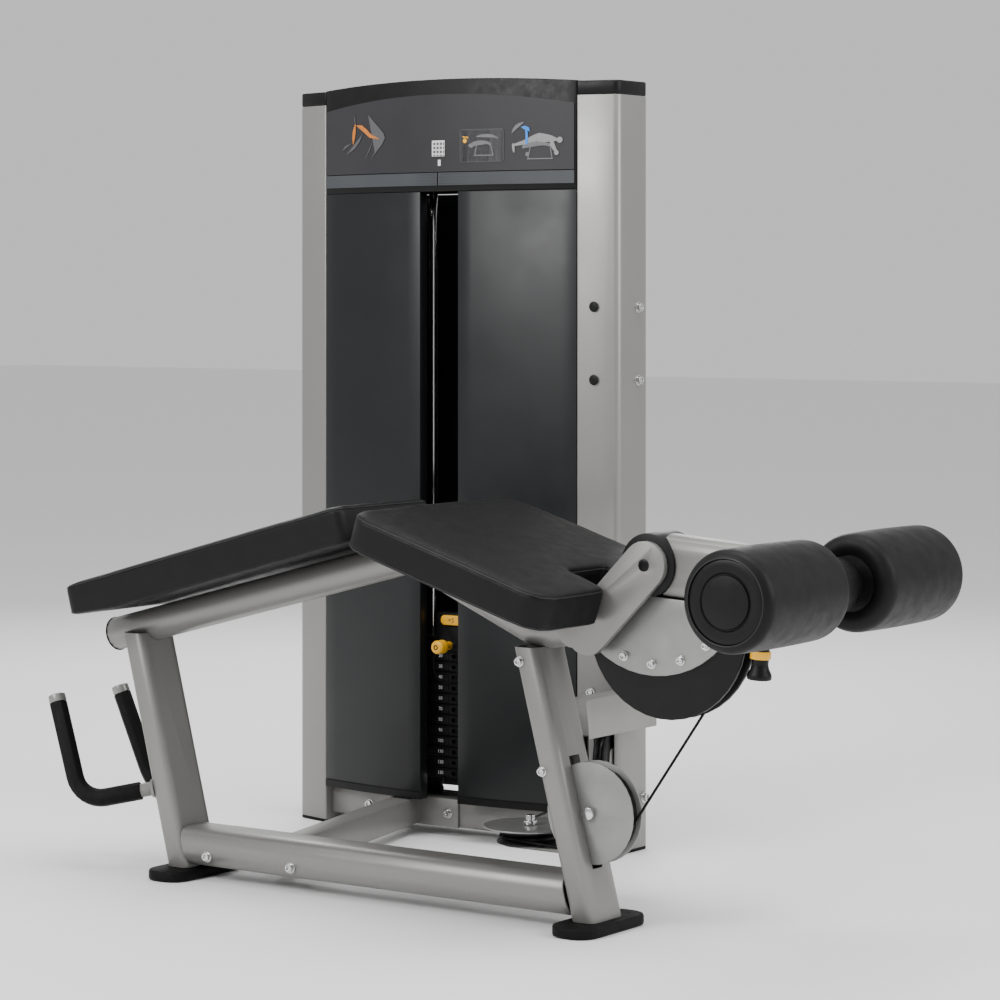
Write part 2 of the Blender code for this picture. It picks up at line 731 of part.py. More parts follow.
def sector_outline():
    inner = HUB_RADIUS + 2 * GAP
    foot = -ARM_DROP - math.pi / 2
    outer = arc(PIVOT, SECTOR_RADIUS, SECTOR_START, arm_underside(SECTOR_RADIUS), 14)
    return outer + arc(PIVOT, inner, foot, SECTOR_START, 4)


def cam_outline():
    centre = (PIVOT[0] + CAM_SHIFT * math.cos(CAM_AIM), PIVOT[1] + CAM_SHIFT * math.sin(CAM_AIM))
    rim = arc(centre, CAM_RADIUS, math.radians(-161), math.radians(8), 18)
    inner = HUB_RADIUS + 2 * GAP
    foot = -ARM_DROP - math.pi / 2
    end = arm_underside(0.205)
    rim.append(Vector((PIVOT[0] + 0.205 * math.cos(end), PIVOT[1] + 0.205 * math.sin(end))))
    return rim + arc(PIVOT, inner, foot, SECTOR_START, 4)


def cam_core():
    foot = -ARM_DROP - math.pi / 2
    rim = arc(PIVOT, CAM_GROOVE - CABLE_RADIUS - GAP, math.radians(-118), math.radians(-33), 14)
    return rim + arc(PIVOT, 0.07, foot + 0.3, math.radians(-118), 4)


def arm():
    at = (PIVOT[0], BENCH_Y, PIVOT[1])
    frame = arm_frame()
    half = ARM_HIGH / 2
    deep = ARM_DEEP / 2
    outer = rectangle(-deep, -half, deep, half, 0.030, 6)
    inner = rectangle(-deep + 0.004, -half + 0.004, deep - 0.004, half - 0.004, 0.026, 5)
    lengthwise = Matrix(((0, 0, 1, 0), (0, 1, 0, 0), (-1, 0, 0, 0), (0, 0, 0, 1)))
    place = frame @ Matrix.Translation((0.024, 0, 0)) @ lengthwise
    beam = add("arm_tube", slab([outer, inner], ARM_END - 0.024, place), "silver_paint", at)
    near = (PIVOT[0], BENCH_Y - 0.06, PIVOT[1])
    cut(beam, rod(near, (0, 1, 0), 0.12, HUB_RADIUS + GAP, 32))
    hub_half = EAR_FACE - EAR_THICK - GAP
    hub_base = (PIVOT[0], BENCH_Y - hub_half, PIVOT[1])
    hub = ring(hub_base, (0, 1, 0), 2 * hub_half, SHAFT_RADIUS + GAP, HUB_RADIUS, 32)
    add("pivot_hub", hub, "black_steel", at)
    cam_half = 0.0197
    add("sector_near", slab(sector_outline(), 0.006, facing(BENCH_Y - cam_half - GAP)), "bright_steel", at)
    far_side = facing(BENCH_Y + cam_half + GAP + 0.006)
    add("sector_far", slab(sector_outline(), 0.006, far_side), "bright_steel", at)
    cam = add("cam", slab(cam_outline(), 0.008, facing(BENCH_Y - cam_half + 0.008)), "black_plastic", at)
    far_flange = slab(cam_outline(), 0.008, facing(BENCH_Y + cam_half))
    core = slab(cam_core(), 2 * cam_half - 0.008, facing(BENCH_Y + cam_half - 0.004))
    join(cam, core, far_flange)
    down = -(frame.to_3x3() @ Vector((0, 1, 0)))
    seat = frame @ Vector((PIN_ALONG, -half - GAP, 0))
    housing = ring(seat, down, 0.050, 0.0065, 0.0125, 16)
    add("pin_housing", housing, "bright_steel", seat)
    start = seat + down * 0.0503
    knob = [(0, -0.045), (0.006, -0.045), (0.006, 0), (0.0165, 0), (0.0170, 0.018), (0.0140, 0.030)]
    knob += [(0.0140, 0.042), (0.0200, 0.056), (0.0215, 0.062), (0.0215, 0.070), (0, 0.070)]
    add("pull_knob", turned(knob, start, down, 16), "black_plastic", start)


def carriage():
    frame = arm_frame()
    centre = frame @ Vector((ARM_REACH, 0, 0))
    lengthwise = Matrix(((0, 0, 1, 0), (0, 1, 0, 0), (-1, 0, 0, 0), (0, 0, 0, 1)))
    inner = rectangle(-0.031, -0.048, 0.031, 0.048, 0.020, 4)
    place = frame @ Matrix.Translation((0.120, 0, 0)) @ lengthwise
    slide = add("roller_slide", slab(inner, 0.190, place), "black_steel", centre)
    nose = fillet([(ARM_END + 0.004, -0.047), (0.376, -0.047), (0.376, 0.047), (ARM_END + 0.004, 0.047)],
                  [0.004, 0.036, 0.036, 0.004], 5)
    join(slide, slab(nose, 0.064, frame @ Matrix.Translation((0, 0, -0.032))))
    collar = ROLLER_INNER - GAP
    join(slide, rod((centre.x, BENCH_Y - collar, centre.z), (0, 1, 0), 2 * collar, 0.030, 20))
    length = ROLLER_OUTER - 0.014
    join(slide, rod((centre.x, BENCH_Y - length, centre.z), (0, 1, 0), 2 * length, AXLE_RADIUS, 16))
    bore = AXLE_RADIUS + GAP
    outer, radius = ROLLER_OUTER, ROLLER_RADIUS
    profile = [(bore, ROLLER_INNER), (radius - 0.022, ROLLER_INNER), (radius - 0.006, ROLLER_INNER + 0.007)]
    profile += [(radius, ROLLER_INNER + 0.022), (radius, outer - 0.022), (radius - 0.006, outer - 0.007)]
    profile += [(radius - 0.022, outer), (bore, outer)]
    base = (centre.x, BENCH_Y, centre.z)
    add("roller_near", turned(profile, base, (0, -1, 0), 28), "black_vinyl", base)
    add("roller_far", turned(profile, base, (0, 1, 0), 28), "black_vinyl", base)


# ---------------------------------------------------------------- pulleys and cable


def pulley(name, centre, axis, groove, half, bore):
    """A wheel whose groove holds the cable's centre line at the groove radius."""
    rim = groove + 0.007
    floor = groove - CABLE_RADIUS - 0.0008
    profile = [(bore, -half), (rim, -half), (rim, -half + 0.003), (floor, -0.0022)]
    profile += [(floor, 0.0022), (rim, half - 0.003), (rim, half), (bore, half)]
    add(name, turned(profile, centre, axis, 24), "black_plastic", centre)


def entry_axis():
    return Vector((math.cos(ENTRY_TURN), math.sin(ENTRY_TURN), 0))


def entry_heading():
    return Vector((-math.sin(ENTRY_TURN), math.cos(ENTRY_TURN), 0))


def tower_pulleys():
    for name, x in (("outer", TOP_OUTER_X), ("centre", SMALL_PULLEY)):
        pulley("top_pulley_" + name, (x, STACK_Y, TOP_PULLEY_Z), (0, 1, 0), SMALL_PULLEY, 0.012, 0.0063)
    centre = Vector((*ENTRY_AT, ENTRY_Z))
    pulley("entry_pulley", centre, entry_axis(), SMALL_PULLEY, 0.012, 0.0063)
    turn = Matrix((entry_heading(), (0, 0, 1), entry_axis())).transposed().to_4x4()
    place = Matrix.Translation(centre) @ turn
    plate = rectangle(-0.024, -0.022, 0.095, 0.022, 0.018, 4)
    bracket = slab(plate, 0.0025, place @ Matrix.Translation((0, 0, -0.0148)))
    bracket = add("entry_pulley_bracket", bracket, "bright_steel")
    far = slab(plate, 0.0025, place @ Matrix.Translation((0, 0, 0.0123)))
    join(bracket, far, rod(centre - entry_axis() * 0.0143, entry_axis(), 0.0286, 0.006, 12))
    join(bracket, rod(place @ Vector((0.080, 0, -0.0143)), entry_axis(), 0.0286, 0.006, 12))


def leg_pulley():
    x, z = LEG_PULLEY_AT
    pulley("leg_pulley", (x, BENCH_Y, z), (0, 1, 0), LEG_PULLEY, 0.0120, 0.0083)
    for name, y in (("near", BENCH_Y - 0.0125), ("far", BENCH_Y + 0.0155)):
        loops = [circle((x, z), 0.091, 32), circle((x, z), 0.0083, 16)]
        add("leg_pulley_guard_" + name, slab(loops, 0.003, facing(y)), "bright_steel")
    axle = [(0, -0.0240), (0.0115, -0.0240), (0.0115, -0.0158), (0.008, -0.0158)]
    axle += [(0.008, 0.0158), (0.0115, 0.0158), (0.0115, 0.0240), (0, 0.0240)]
    # Clear of the leg's slot, the heads stand on the guards.
    add("leg_pulley_axle", turned(axle, (x, BENCH_Y, z), (0, 1, 0), 16), "chrome")


def floor_pulley():
    x, y = FLOOR_PULLEY_AT
    pulley("floor_pulley", (x, y, FLOOR_GROOVE_Z), (0, 0, 1), FLOOR_PULLEY, 0.012, 0.0083)
    leg_face = LEG_RIGHT_X + LEG_LEAN * 0.129 - LEG_WIDE / 2 - 2 * GAP
    outline = fillet(
        [(x - 0.052, y - 0.034), (leg_face, y - 0.034), (leg_face, y + 0.050), (x - 0.052, y + 0.050)],
        [0.033, 0, 0, 0.049],
        6,
    )
    add("floor_pulley_bracket", slab(outline, 0.006, flat(0.123)), "silver_paint")
    loops = [circle((x, y), 0.086, 32), circle((x, y), 0.0083, 16)]
    add("floor_pulley_guard", slab(loops, 0.003, flat(0.1585)), "bright_steel")
    axle = [(0, 0.1293), (0.008, 0.1293), (0.008, 0.1618), (0.012, 0.1618), (0.012, 0.1700), (0.008, 0.1700)]
    axle += [(0.008, 0.1800), (0, 0.1800)]
    add("floor_pulley_axle", turned(axle, (x, y, 0), (0, 0, 1), 16), "chrome")


def tangent_angle(centre, radius, target, other, sign):
    """Angle on a circle where the line to another circle, turning the same way round, leaves it."""
    apart = Vector(other) - Vector(centre)
    return math.atan2(apart.y, apart.x) + sign * math.acos((radius - target) / apart.length)


def drive_cable():
    """The taut cable, from the cam's groove, by way of four pulleys, to the top of the stack's drop."""
    x, z = LEG_PULLEY_AT
    leave = tangent_angle(LEG_PULLEY_AT, LEG_PULLEY, CAM_GROOVE, PIVOT, -1)
    path = []
    groove = Vector((math.cos(leave), math.sin(leave)))
    path.append((PIVOT[0] + CAM_GROOVE * groove.x, BENCH_Y, PIVOT[1] + CAM_GROOVE * groove.y))
    for point in arc(LEG_PULLEY_AT, LEG_PULLEY, leave, math.radians(-93), 8):
        path.append((point.x, BENCH_Y, point.y))
    for point in arc(FLOOR_PULLEY_AT, FLOOR_PULLEY, -math.pi / 2, -math.pi + ENTRY_TURN, 7):
        path.append((point.x, point.y, FLOOR_GROOVE_Z))
    centre = Vector((*ENTRY_AT, ENTRY_Z))
    for k in range(8):
        angle = math.pi / 2 * k / 7
        out = entry_heading() * math.sin(angle) * SMALL_PULLEY
        path.append(tuple(centre + out - Vector((0, 0, math.cos(angle) * SMALL_PULLEY))))
    for point in arc((TOP_OUTER_X, TOP_PULLEY_Z), SMALL_PULLEY, 0, math.pi / 2, 7):
        path.append((point.x, STACK_Y, point.y))
    for point in arc((SMALL_PULLEY, TOP_PULLEY_Z), SMALL_PULLEY, math.pi / 2, math.pi, 7):
        path.append((point.x, STACK_Y, point.y))
    add("drive_cable", tube(path, CABLE_RADIUS, None, 8), "black_rubber")
    low = STACK_LOW + PLATE_COUNT * PLATE_PITCH + HEAD_PLATE_THICK + 0.060 + GAP
    drop = rod((0, STACK_Y, low), (0, 0, 1), TOP_PULLEY_Z - GAP - low, CABLE_RADIUS, 8)
    add("stack_cable", drop, "black_rubber")


# ---------------------------------------------------------------- assembly


def settle():
    """Puts the origin at the middle of the footprint, on the floor."""
    bpy.context.view_layer.update()
    graph = bpy.context.evaluated_depsgraph_get()
    corners = []
    for obj in PARTS.objects:
        shown = obj.evaluated_get(graph)
        corners += [shown.matrix_world @ Vector(corner) for corner in shown.bound_box]
    middle = [(min(c[i] for c in corners) + max(c[i] for c in corners)) / 2 for i in (0, 1)]
    stand = bpy.data.objects.new("footprint_centre", None)
    PARTS.objects.link(stand)
    for obj in list(PARTS.objects) + list(CUTTERS.objects):
        if obj is not stand:
            obj.parent = stand
    stand.location = (-middle[0], -middle[1], 0)


def main():
    global PARTS, CUTTERS
    clear_scene()
    PARTS = make_collection("lying_leg_curl")
    CUTTERS = make_collection("cutters")
    make_materials()
    upright(-1, "left")
    upright(1, "right")
    header()
    half = UPRIGHT_IN - GAP
    shield("shield_left", -half, SLOT_LEFT, SLOT_LEFT)
    shield("shield_right", SLOT_RIGHT, half, SLOT_RIGHT)
    rear_shield()
    tower_frame()
    guide_rods()
    weight_plates()
    lifting_group()
    legs()
    base_tubes()
    link_tube()
    top_tube()
    fork()
    pads()
    handles()
    arm()
    carriage()
    tower_pulleys()
    leg_pulley()
    floor_pulley()
    drive_cable()
    settle()


main()
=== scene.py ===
"""The looks of the lying leg curl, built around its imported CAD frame.

Places are written from the tower's own reference point, as on the CAD side: X = 0 at the middle
of the tower, Y = 0 at its front chord and Z = 0 at the floor.  at() turns them into the frame.
"""

import json
import math

import bmesh
import bpy
from mathutils import Matrix, Vector
from mathutils.bvhtree import BVHTree
from mathutils.kdtree import KDTree


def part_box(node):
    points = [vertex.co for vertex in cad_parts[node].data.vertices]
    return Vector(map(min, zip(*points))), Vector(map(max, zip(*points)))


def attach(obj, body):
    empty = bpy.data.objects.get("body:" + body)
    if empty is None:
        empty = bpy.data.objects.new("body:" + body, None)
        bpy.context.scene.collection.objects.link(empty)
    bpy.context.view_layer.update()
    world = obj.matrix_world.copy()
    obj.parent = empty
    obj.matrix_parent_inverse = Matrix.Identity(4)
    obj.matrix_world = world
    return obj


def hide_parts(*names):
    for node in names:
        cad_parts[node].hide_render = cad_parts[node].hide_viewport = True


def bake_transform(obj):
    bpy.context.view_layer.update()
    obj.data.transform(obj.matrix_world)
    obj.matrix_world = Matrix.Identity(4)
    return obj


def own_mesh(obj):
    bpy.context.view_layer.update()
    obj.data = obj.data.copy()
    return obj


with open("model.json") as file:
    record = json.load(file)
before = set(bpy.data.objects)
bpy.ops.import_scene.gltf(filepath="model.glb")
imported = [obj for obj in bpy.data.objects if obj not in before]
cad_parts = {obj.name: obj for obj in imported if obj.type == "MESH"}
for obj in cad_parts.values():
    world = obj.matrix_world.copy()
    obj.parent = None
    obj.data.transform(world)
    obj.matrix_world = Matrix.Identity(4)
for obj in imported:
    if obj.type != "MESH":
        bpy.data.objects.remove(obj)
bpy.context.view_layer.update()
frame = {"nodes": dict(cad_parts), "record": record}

HEADER_LOW, HEADER_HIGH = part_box("header_housing")
SHAFT_LOW, SHAFT_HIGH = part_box("pivot_shaft")
FRONT_RADIUS = 1.55
FRONT_APEX = -0.055
ORIGIN = Vector(((HEADER_LOW.x + HEADER_HIGH.x) / 2, HEADER_LOW.y - FRONT_APEX, 0))
BENCH_Y = (SHAFT_LOW.y + SHAFT_HIGH.y) / 2 - ORIGIN.y
PIVOT_X = (SHAFT_LOW.x + SHAFT_HIGH.x) / 2 - ORIGIN.x
PIVOT_Z = (SHAFT_LOW.z + SHAFT_HIGH.z) / 2
ARM_DROP = math.radians(3.9)
PLUG_X = 0.359
STACK_LOW = 0.1175
PLATE_PITCH = 0.02215
PLATE_COUNT = 12
LEFT = Vector((-1, 0, 0))
RIGHT = Vector((1, 0, 0))
FRONT = Vector((0, -1, 0))
BACK = Vector((0, 1, 0))
UP = Vector((0, 0, 1))

MATERIALS = {}
SLOT_OF_NODE = {entry["node"]: entry["material_slot"] for entry in frame["record"]["subparts"]}
BODY_OF_NODE = {n: body for body, nodes in frame["record"]["behaviour"]["bodies"].items() for n in nodes}


def at(x, y, z):
    return ORIGIN + Vector((x, y, z))


def front_y(x, proud=0.0):
    """The tower's curved front, in tower coordinates, with a piece standing proud of it."""
    return FRONT_APEX + FRONT_RADIUS - math.sqrt((FRONT_RADIUS + proud) ** 2 - x * x)


# ---------------------------------------------------------------- camera, floor and lights


def make_camera():
    camera = bpy.data.cameras.new("camera")
    camera.sensor_width = 36
    camera.lens = 115.8
    camera.shift_y = -0.2115
    holder = bpy.data.objects.new("camera", camera)
    holder.location = at(3.952, -5.395, 1.1376)
    holder.rotation_euler = (math.radians(90), 0, math.radians(35.4))
    bpy.context.scene.collection.objects.link(holder)
    bpy.context.scene.camera = holder


def softbox(name, location, target, size, watts):
    light = bpy.data.lights.new(name, "AREA")
    light.shape = "RECTANGLE"
    light.size = size[0]
    light.size_y = size[1]
    light.energy = watts
    holder = bpy.data.objects.new(name, light)
    holder.location = location
    holder.rotation_euler = (Vector(target) - Vector(location)).to_track_quat("-Z", "Y").to_euler()
    bpy.context.scene.collection.objects.link(holder)


def make_stage():
    mesh = bpy.data.meshes.new("floor")
    work = bmesh.new()
    bmesh.ops.create_grid(work, x_segments=1, y_segments=1, size=30)
    work.to_mesh(mesh)
    work.free()
    floor = bpy.data.objects.new("floor", mesh)
    floor.location = (0, 0, -0.0005)
    bpy.context.scene.collection.objects.link(floor)
    pale = bpy.data.materials.new("pale_floor")
    pale.use_nodes = True
    shader = pale.node_tree.nodes["Principled BSDF"]
    shader.inputs["Base Color"].default_value = (0.86, 0.86, 0.86, 1)
    shader.inputs["Roughness"].default_value = 0.9
    mesh.materials.append(pale)
    world = bpy.data.worlds.new("studio")
    bpy.context.scene.world = world
    world.use_nodes = True
    background = world.node_tree.nodes["Background"]
    background.inputs["Color"].default_value = (1, 1, 1, 1)
    background.inputs["Strength"].default_value = 0.72
    middle = (0, 0, 0.7)
    softbox("key", (-1.6, -4.4, 3.4), middle, (2.6, 2.0), 190)
    softbox("side", (4.2, 0.6, 2.6), middle, (1.8, 2.6), 110)
    softbox("top", (0.3, -0.4, 4.4), middle, (3.0, 2.4), 130)
    softbox("rim", (-2.8, 3.4, 2.8), middle, (2.4, 2.0), 90)


# ---------------------------------------------------------------- materials


class Finish:
    """A Principled material whose colour, roughness and bump come from procedural nodes."""

    def __init__(self, name, base, roughness, metallic=0.0, gloss=0.5):
        self.material = bpy.data.materials.new(name)
        self.material.use_nodes = True
        self.material.diffuse_color = (*base, 1)
        self.tree = self.material.node_tree
        self.shader = self.tree.nodes["Principled BSDF"]
        self.base = base
        self.roughness = roughness
        self.shader.inputs["Base Color"].default_value = (*base, 1)
        self.shader.inputs["Roughness"].default_value = roughness
        self.shader.inputs["Metallic"].default_value = metallic
        self.shader.inputs["Specular IOR Level"].default_value = gloss
        self.height = None
        self.coords = self.tree.nodes.new("ShaderNodeTexCoord").outputs["Object"]
        MATERIALS[name] = self.material

    def noise(self, scale, detail=3.0, stretch=(1, 1, 1)):
        mapping = self.tree.nodes.new("ShaderNodeMapping")
        mapping.inputs["Scale"].default_value = stretch
        self.tree.links.new(self.coords, mapping.inputs["Vector"])
        node = self.tree.nodes.new("ShaderNodeTexNoise")
        node.inputs["Scale"].default_value = scale
        node.inputs["Detail"].default_value = detail
        self.tree.links.new(mapping.outputs["Vector"], node.inputs["Vector"])
        return node.outputs["Fac"]

    def cells(self, scale):
        node = self.tree.nodes.new("ShaderNodeTexVoronoi")
        node.inputs["Scale"].default_value = scale
        self.tree.links.new(self.coords, node.inputs["Vector"])
        return node.outputs["Distance"]

    def spread(self, value, low, high):
        node = self.tree.nodes.new("ShaderNodeMapRange")
        node.inputs["From Min"].default_value = 0.3
        node.inputs["From Max"].default_value = 0.7
        node.inputs["To Min"].default_value = low
        node.inputs["To Max"].default_value = high
        self.tree.links.new(value, node.inputs["Value"])
        return node.outputs["Result"]

    def mottle(self, scale, amount, stretch=(1, 1, 1)):
        mix = self.tree.nodes.new("ShaderNodeMix")
        mix.data_type = "RGBA"
        colours = [socket for socket in mix.inputs if socket.type == "RGBA"]
        colours[0].default_value = (*[c * (1 - amount) for c in self.base], 1)
        colours[1].default_value = (*[min(1, c * (1 + amount)) for c in self.base], 1)
        factor = self.spread(self.noise(scale, 4.0, stretch), 0, 1)
        self.tree.links.new(factor, mix.inputs["Factor"])
        result = [socket for socket in mix.outputs if socket.type == "RGBA"][0]
        self.tree.links.new(result, self.shader.inputs["Base Color"])
        return self

    def uneven(self, scale, amount, stretch=(1, 1, 1)):
        rough = self.spread(self.noise(scale, 3.0, stretch), self.roughness - amount, self.roughness + amount)
        self.tree.links.new(rough, self.shader.inputs["Roughness"])
        return self

    def bump(self, value, distance, strength=1.0):
        node = self.tree.nodes.new("ShaderNodeBump")
        node.inputs["Distance"].default_value = distance
        node.inputs["Strength"].default_value = strength
        self.tree.links.new(value, node.inputs["Height"])
        if self.height:
            self.tree.links.new(self.height, node.inputs["Normal"])
        self.height = node.outputs["Normal"]
        self.tree.links.new(self.height, self.shader.inputs["Normal"])
        return self


def make_materials():
    silver = Finish("silver_paint", (0.235, 0.231, 0.222), 0.38, 0.45)
    silver.mottle(900, 0.10).uneven(7, 0.05).bump(silver.noise(1400, 2), 0.00006, 0.5)
    silver.bump(silver.noise(260, 2), 0.00008, 0.35)
    vinyl = Finish("black_vinyl", (0.0036, 0.0036, 0.0038), 0.50, 0, 0.20)
    vinyl.mottle(18, 0.20).uneven(40, 0.07).bump(vinyl.cells(720), 0.00030, 0.40)
    vinyl.bump(vinyl.noise(14, 4), 0.0012, 0.25)
    panel = Finish("charcoal_panel", (0.0060, 0.0067, 0.0075), 0.36, 0, 0.32)
    panel.mottle(4, 0.14).uneven(9, 0.05).bump(panel.noise(900, 2), 0.00004, 0.5)
    plastic = Finish("black_plastic", (0.0034, 0.0034, 0.0034), 0.42, 0, 0.22)
    plastic.mottle(30, 0.15).uneven(60, 0.06).bump(plastic.noise(1500, 2), 0.00007, 0.6)
    rubber = Finish("black_rubber", (0.0034, 0.0034, 0.0034), 0.62, 0, 0.15)
    rubber.mottle(60, 0.20).uneven(80, 0.08).bump(rubber.cells(1100), 0.00012, 0.5)
    steel = Finish("black_steel", (0.0042, 0.0042, 0.0045), 0.40, 0.0, 0.22)
    steel.mottle(50, 0.15).uneven(30, 0.06).bump(steel.noise(800, 2), 0.00005, 0.5)
    chrome = Finish("chrome", (0.62, 0.62, 0.62), 0.16, 1.0)
    chrome.mottle(40, 0.05).uneven(70, 0.05).bump(chrome.noise(500, 2), 0.00002, 0.4)
    bright = Finish("bright_steel", (0.27, 0.27, 0.264), 0.36, 0.6)
    bright.mottle(25, 0.06).uneven(120, 0.06, (1, 1, 12)).bump(bright.noise(700, 2, (1, 1, 16)), 0.00003, 0.5)
    iron = Finish("cast_iron", (0.0042, 0.0042, 0.0045), 0.50, 0.0, 0.22)
    iron.mottle(45, 0.20).uneven(60, 0.08).bump(iron.noise(420, 4), 0.00018, 0.6)
    yellow = Finish("yellow_plastic", (0.80, 0.40, 0.008), 0.34)
    yellow.mottle(70, 0.06).uneven(50, 0.05).bump(yellow.noise(900, 2), 0.00004, 0.5)
    placard = Finish("placard_print", (0.026, 0.025, 0.0275), 0.40, 0, 0.32)
    placard.mottle(3, 0.12).uneven(14, 0.05).bump(placard.noise(1200, 2), 0.00002, 0.4)
    band = Finish("band_print", (0.052, 0.056, 0.062), 0.36, 0, 0.35)
    band.mottle(5, 0.08).uneven(14, 0.05).bump(band.noise(1200, 2), 0.00002, 0.4)
    for name, base in (
        ("white_ink", (0.66, 0.66, 0.66)),
        ("pale_ink", (0.250, 0.250, 0.250)),
        ("grey_ink", (0.145, 0.145, 0.155)),
        ("dim_ink", (0.085, 0.085, 0.090)),
        ("dark_ink", (0.030, 0.035, 0.040)),
        ("orange_ink", (0.50, 0.16, 0.022)),
        ("blue_ink", (0.03, 0.22, 0.70)),
        ("thread", (0.016, 0.016, 0.017)),
    ):
        ink = Finish(name, base, 0.5, 0, 0.35)
        ink.mottle(200, 0.06).uneven(90, 0.05)


# ---------------------------------------------------------------- making pieces


def piece_of(name, mesh, material, body, smooth=35):
    mesh.materials.clear()
    mesh.materials.append(MATERIALS[material])
    if smooth:
        mesh.shade_smooth()
        mesh.set_sharp_from_angle(angle=math.radians(smooth))
    piece = bpy.data.objects.new(name, mesh)
    bpy.context.scene.collection.objects.link(piece)
    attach(piece, body)
    return piece


def baked(data, setup=None):
    holder = bpy.data.objects.new("holder", data)
    bpy.context.scene.collection.objects.link(holder)
    if setup:
        setup(holder)
    graph = bpy.context.evaluated_depsgraph_get()
    mesh = bpy.data.meshes.new_from_object(holder.evaluated_get(graph))
    bpy.data.objects.remove(holder, do_unlink=True)
    return mesh


def cleaned(mesh):
    work = bmesh.new()
    work.from_mesh(mesh)
    bmesh.ops.remove_doubles(work, verts=work.verts, dist=0.00001)
    bmesh.ops.recalc_face_normals(work, faces=work.faces)
    work.to_mesh(mesh)
    work.free()
    return mesh


def refined(node, width, segments=2, material=None):
    """A copy of a CAD node with its flat faces merged and its edges rounded, which stands for it."""
    mesh = frame["nodes"][node].data.copy()
    work = bmesh.new()
    work.from_mesh(mesh)
    bmesh.ops.remove_doubles(work, verts=work.verts, dist=0.00001)
    bmesh.ops.dissolve_limit(work, angle_limit=math.radians(0.6), verts=work.verts, edges=work.edges)
    work.to_mesh(mesh)
    work.free()

    def round_edges(holder):
        bevel = holder.modifiers.new("edges", "BEVEL")
        bevel.width = width
        bevel.segments = segments
        bevel.limit_method = "ANGLE"
        bevel.angle_limit = math.radians(40)
        bevel.use_clamp_overlap = True
        normals = holder.modifiers.new("normals", "WEIGHTED_NORMAL")
        normals.keep_sharp = True

    slot = SLOT_OF_NODE[node]
    if width > 0:
        mesh = baked(mesh, round_edges)
    piece = piece_of(node + "_finished", mesh, material or slot, BODY_OF_NODE[node], 38)
    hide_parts(node)
    return piece


def prism(points, depth, place):
    work = bmesh.new()
    face = work.faces.new([work.verts.new((p[0], p[1], 0)) for p in points])
    grown = bmesh.ops.extrude_face_region(work, geom=[face])
    moved = [item for item in grown["geom"] if isinstance(item, bmesh.types.BMVert)]
    bmesh.ops.translate(work, vec=(0, 0, depth), verts=moved)
    bmesh.ops.recalc_face_normals(work, faces=work.faces)
    mesh = bpy.data.meshes.new("prism")
    work.to_mesh(mesh)
    work.free()
    mesh.transform(place)
    return mesh


def turn_to(axis):
    return UP.rotation_difference(Vector(axis).normalized()).to_matrix().to_4x4()


def turned(profile, base, axis, steps=64):
    """A profile of (radius, height) pairs turned about the axis through base."""
    mesh = bpy.data.meshes.new("profile")
    work = bmesh.new()
    verts = [work.verts.new((r, 0, h)) for r, h in profile]
    closed = min(r for r, h in profile) > 0
    for i in range(len(verts) - (0 if closed else 1)):
        work.edges.new((verts[i], verts[(i + 1) % len(verts)]))
    work.to_mesh(mesh)
    work.free()

    def screw(holder):
        modifier = holder.modifiers.new("turn", "SCREW")
        modifier.steps = steps
        modifier.render_steps = steps
        modifier.use_merge_vertices = True
        modifier.merge_threshold = 0.00002

    solid = cleaned(baked(mesh, screw))
    solid.transform(Matrix.Translation(base) @ turn_to(axis))
    return solid


def tube(points, radius, sides=12, cyclic=False):
    curve = bpy.data.curves.new("path", "CURVE")
    curve.dimensions = "3D"
    curve.bevel_depth = radius
    curve.bevel_resolution = max(1, sides // 4 - 1)
    curve.use_fill_caps = not cyclic
    spline = curve.splines.new("POLY")
    spline.points.add(len(points) - 1)
    spline.use_cyclic_u = cyclic
    for point, place in zip(spline.points, points):
        point.co = (*place, 1)
    return cleaned(baked(curve))


def merged(meshes):
    work = bmesh.new()
    for mesh in meshes:
        work.from_mesh(mesh)
    result = bpy.data.meshes.new("merged")
    work.to_mesh(result)
    work.free()
    return result


def rounded_profile(points, radius, steps=4):
    """A turned profile with its inner corners rounded."""
    points = [Vector(p) for p in points]
    result = [points[0]]
    for before, corner, after in zip(points, points[1:], points[2:]):
        back, ahead = before - corner, after - corner
        reach = min(radius, back.length * 0.49, ahead.length * 0.49)
        first = corner + back.normalized() * reach
        last = corner + ahead.normalized() * reach
        for k in range(steps + 1):
            t = k / steps
            result.append(first * (1 - t) ** 2 + corner * 2 * t * (1 - t) + last * t * t)
    return [(p.x, p.y) for p in result + [points[-1]]]


# ---------------------------------------------------------------- fasteners


def socket_screw(centre, axis, head=0.008, height=0.007, washer=0.0105):
    """A socket-head cap screw on a washer, with a round socket recess turned into its head."""
    socket, depth = head * 0.55, height * 0.45
    profile = [(0, 0), (head, 0), (head, height), (socket, height), (socket, depth), (0, depth)]
    body = turned(rounded_profile(profile, 0.0009, 3), centre + axis * 0.0016, axis, 32)
    profile = [(0, 0), (washer, 0), (washer, 0.0016), (0, 0.0016)]
    seat = turned(rounded_profile(profile, 0.0004, 2), centre, axis, 32)
    return [body, seat]


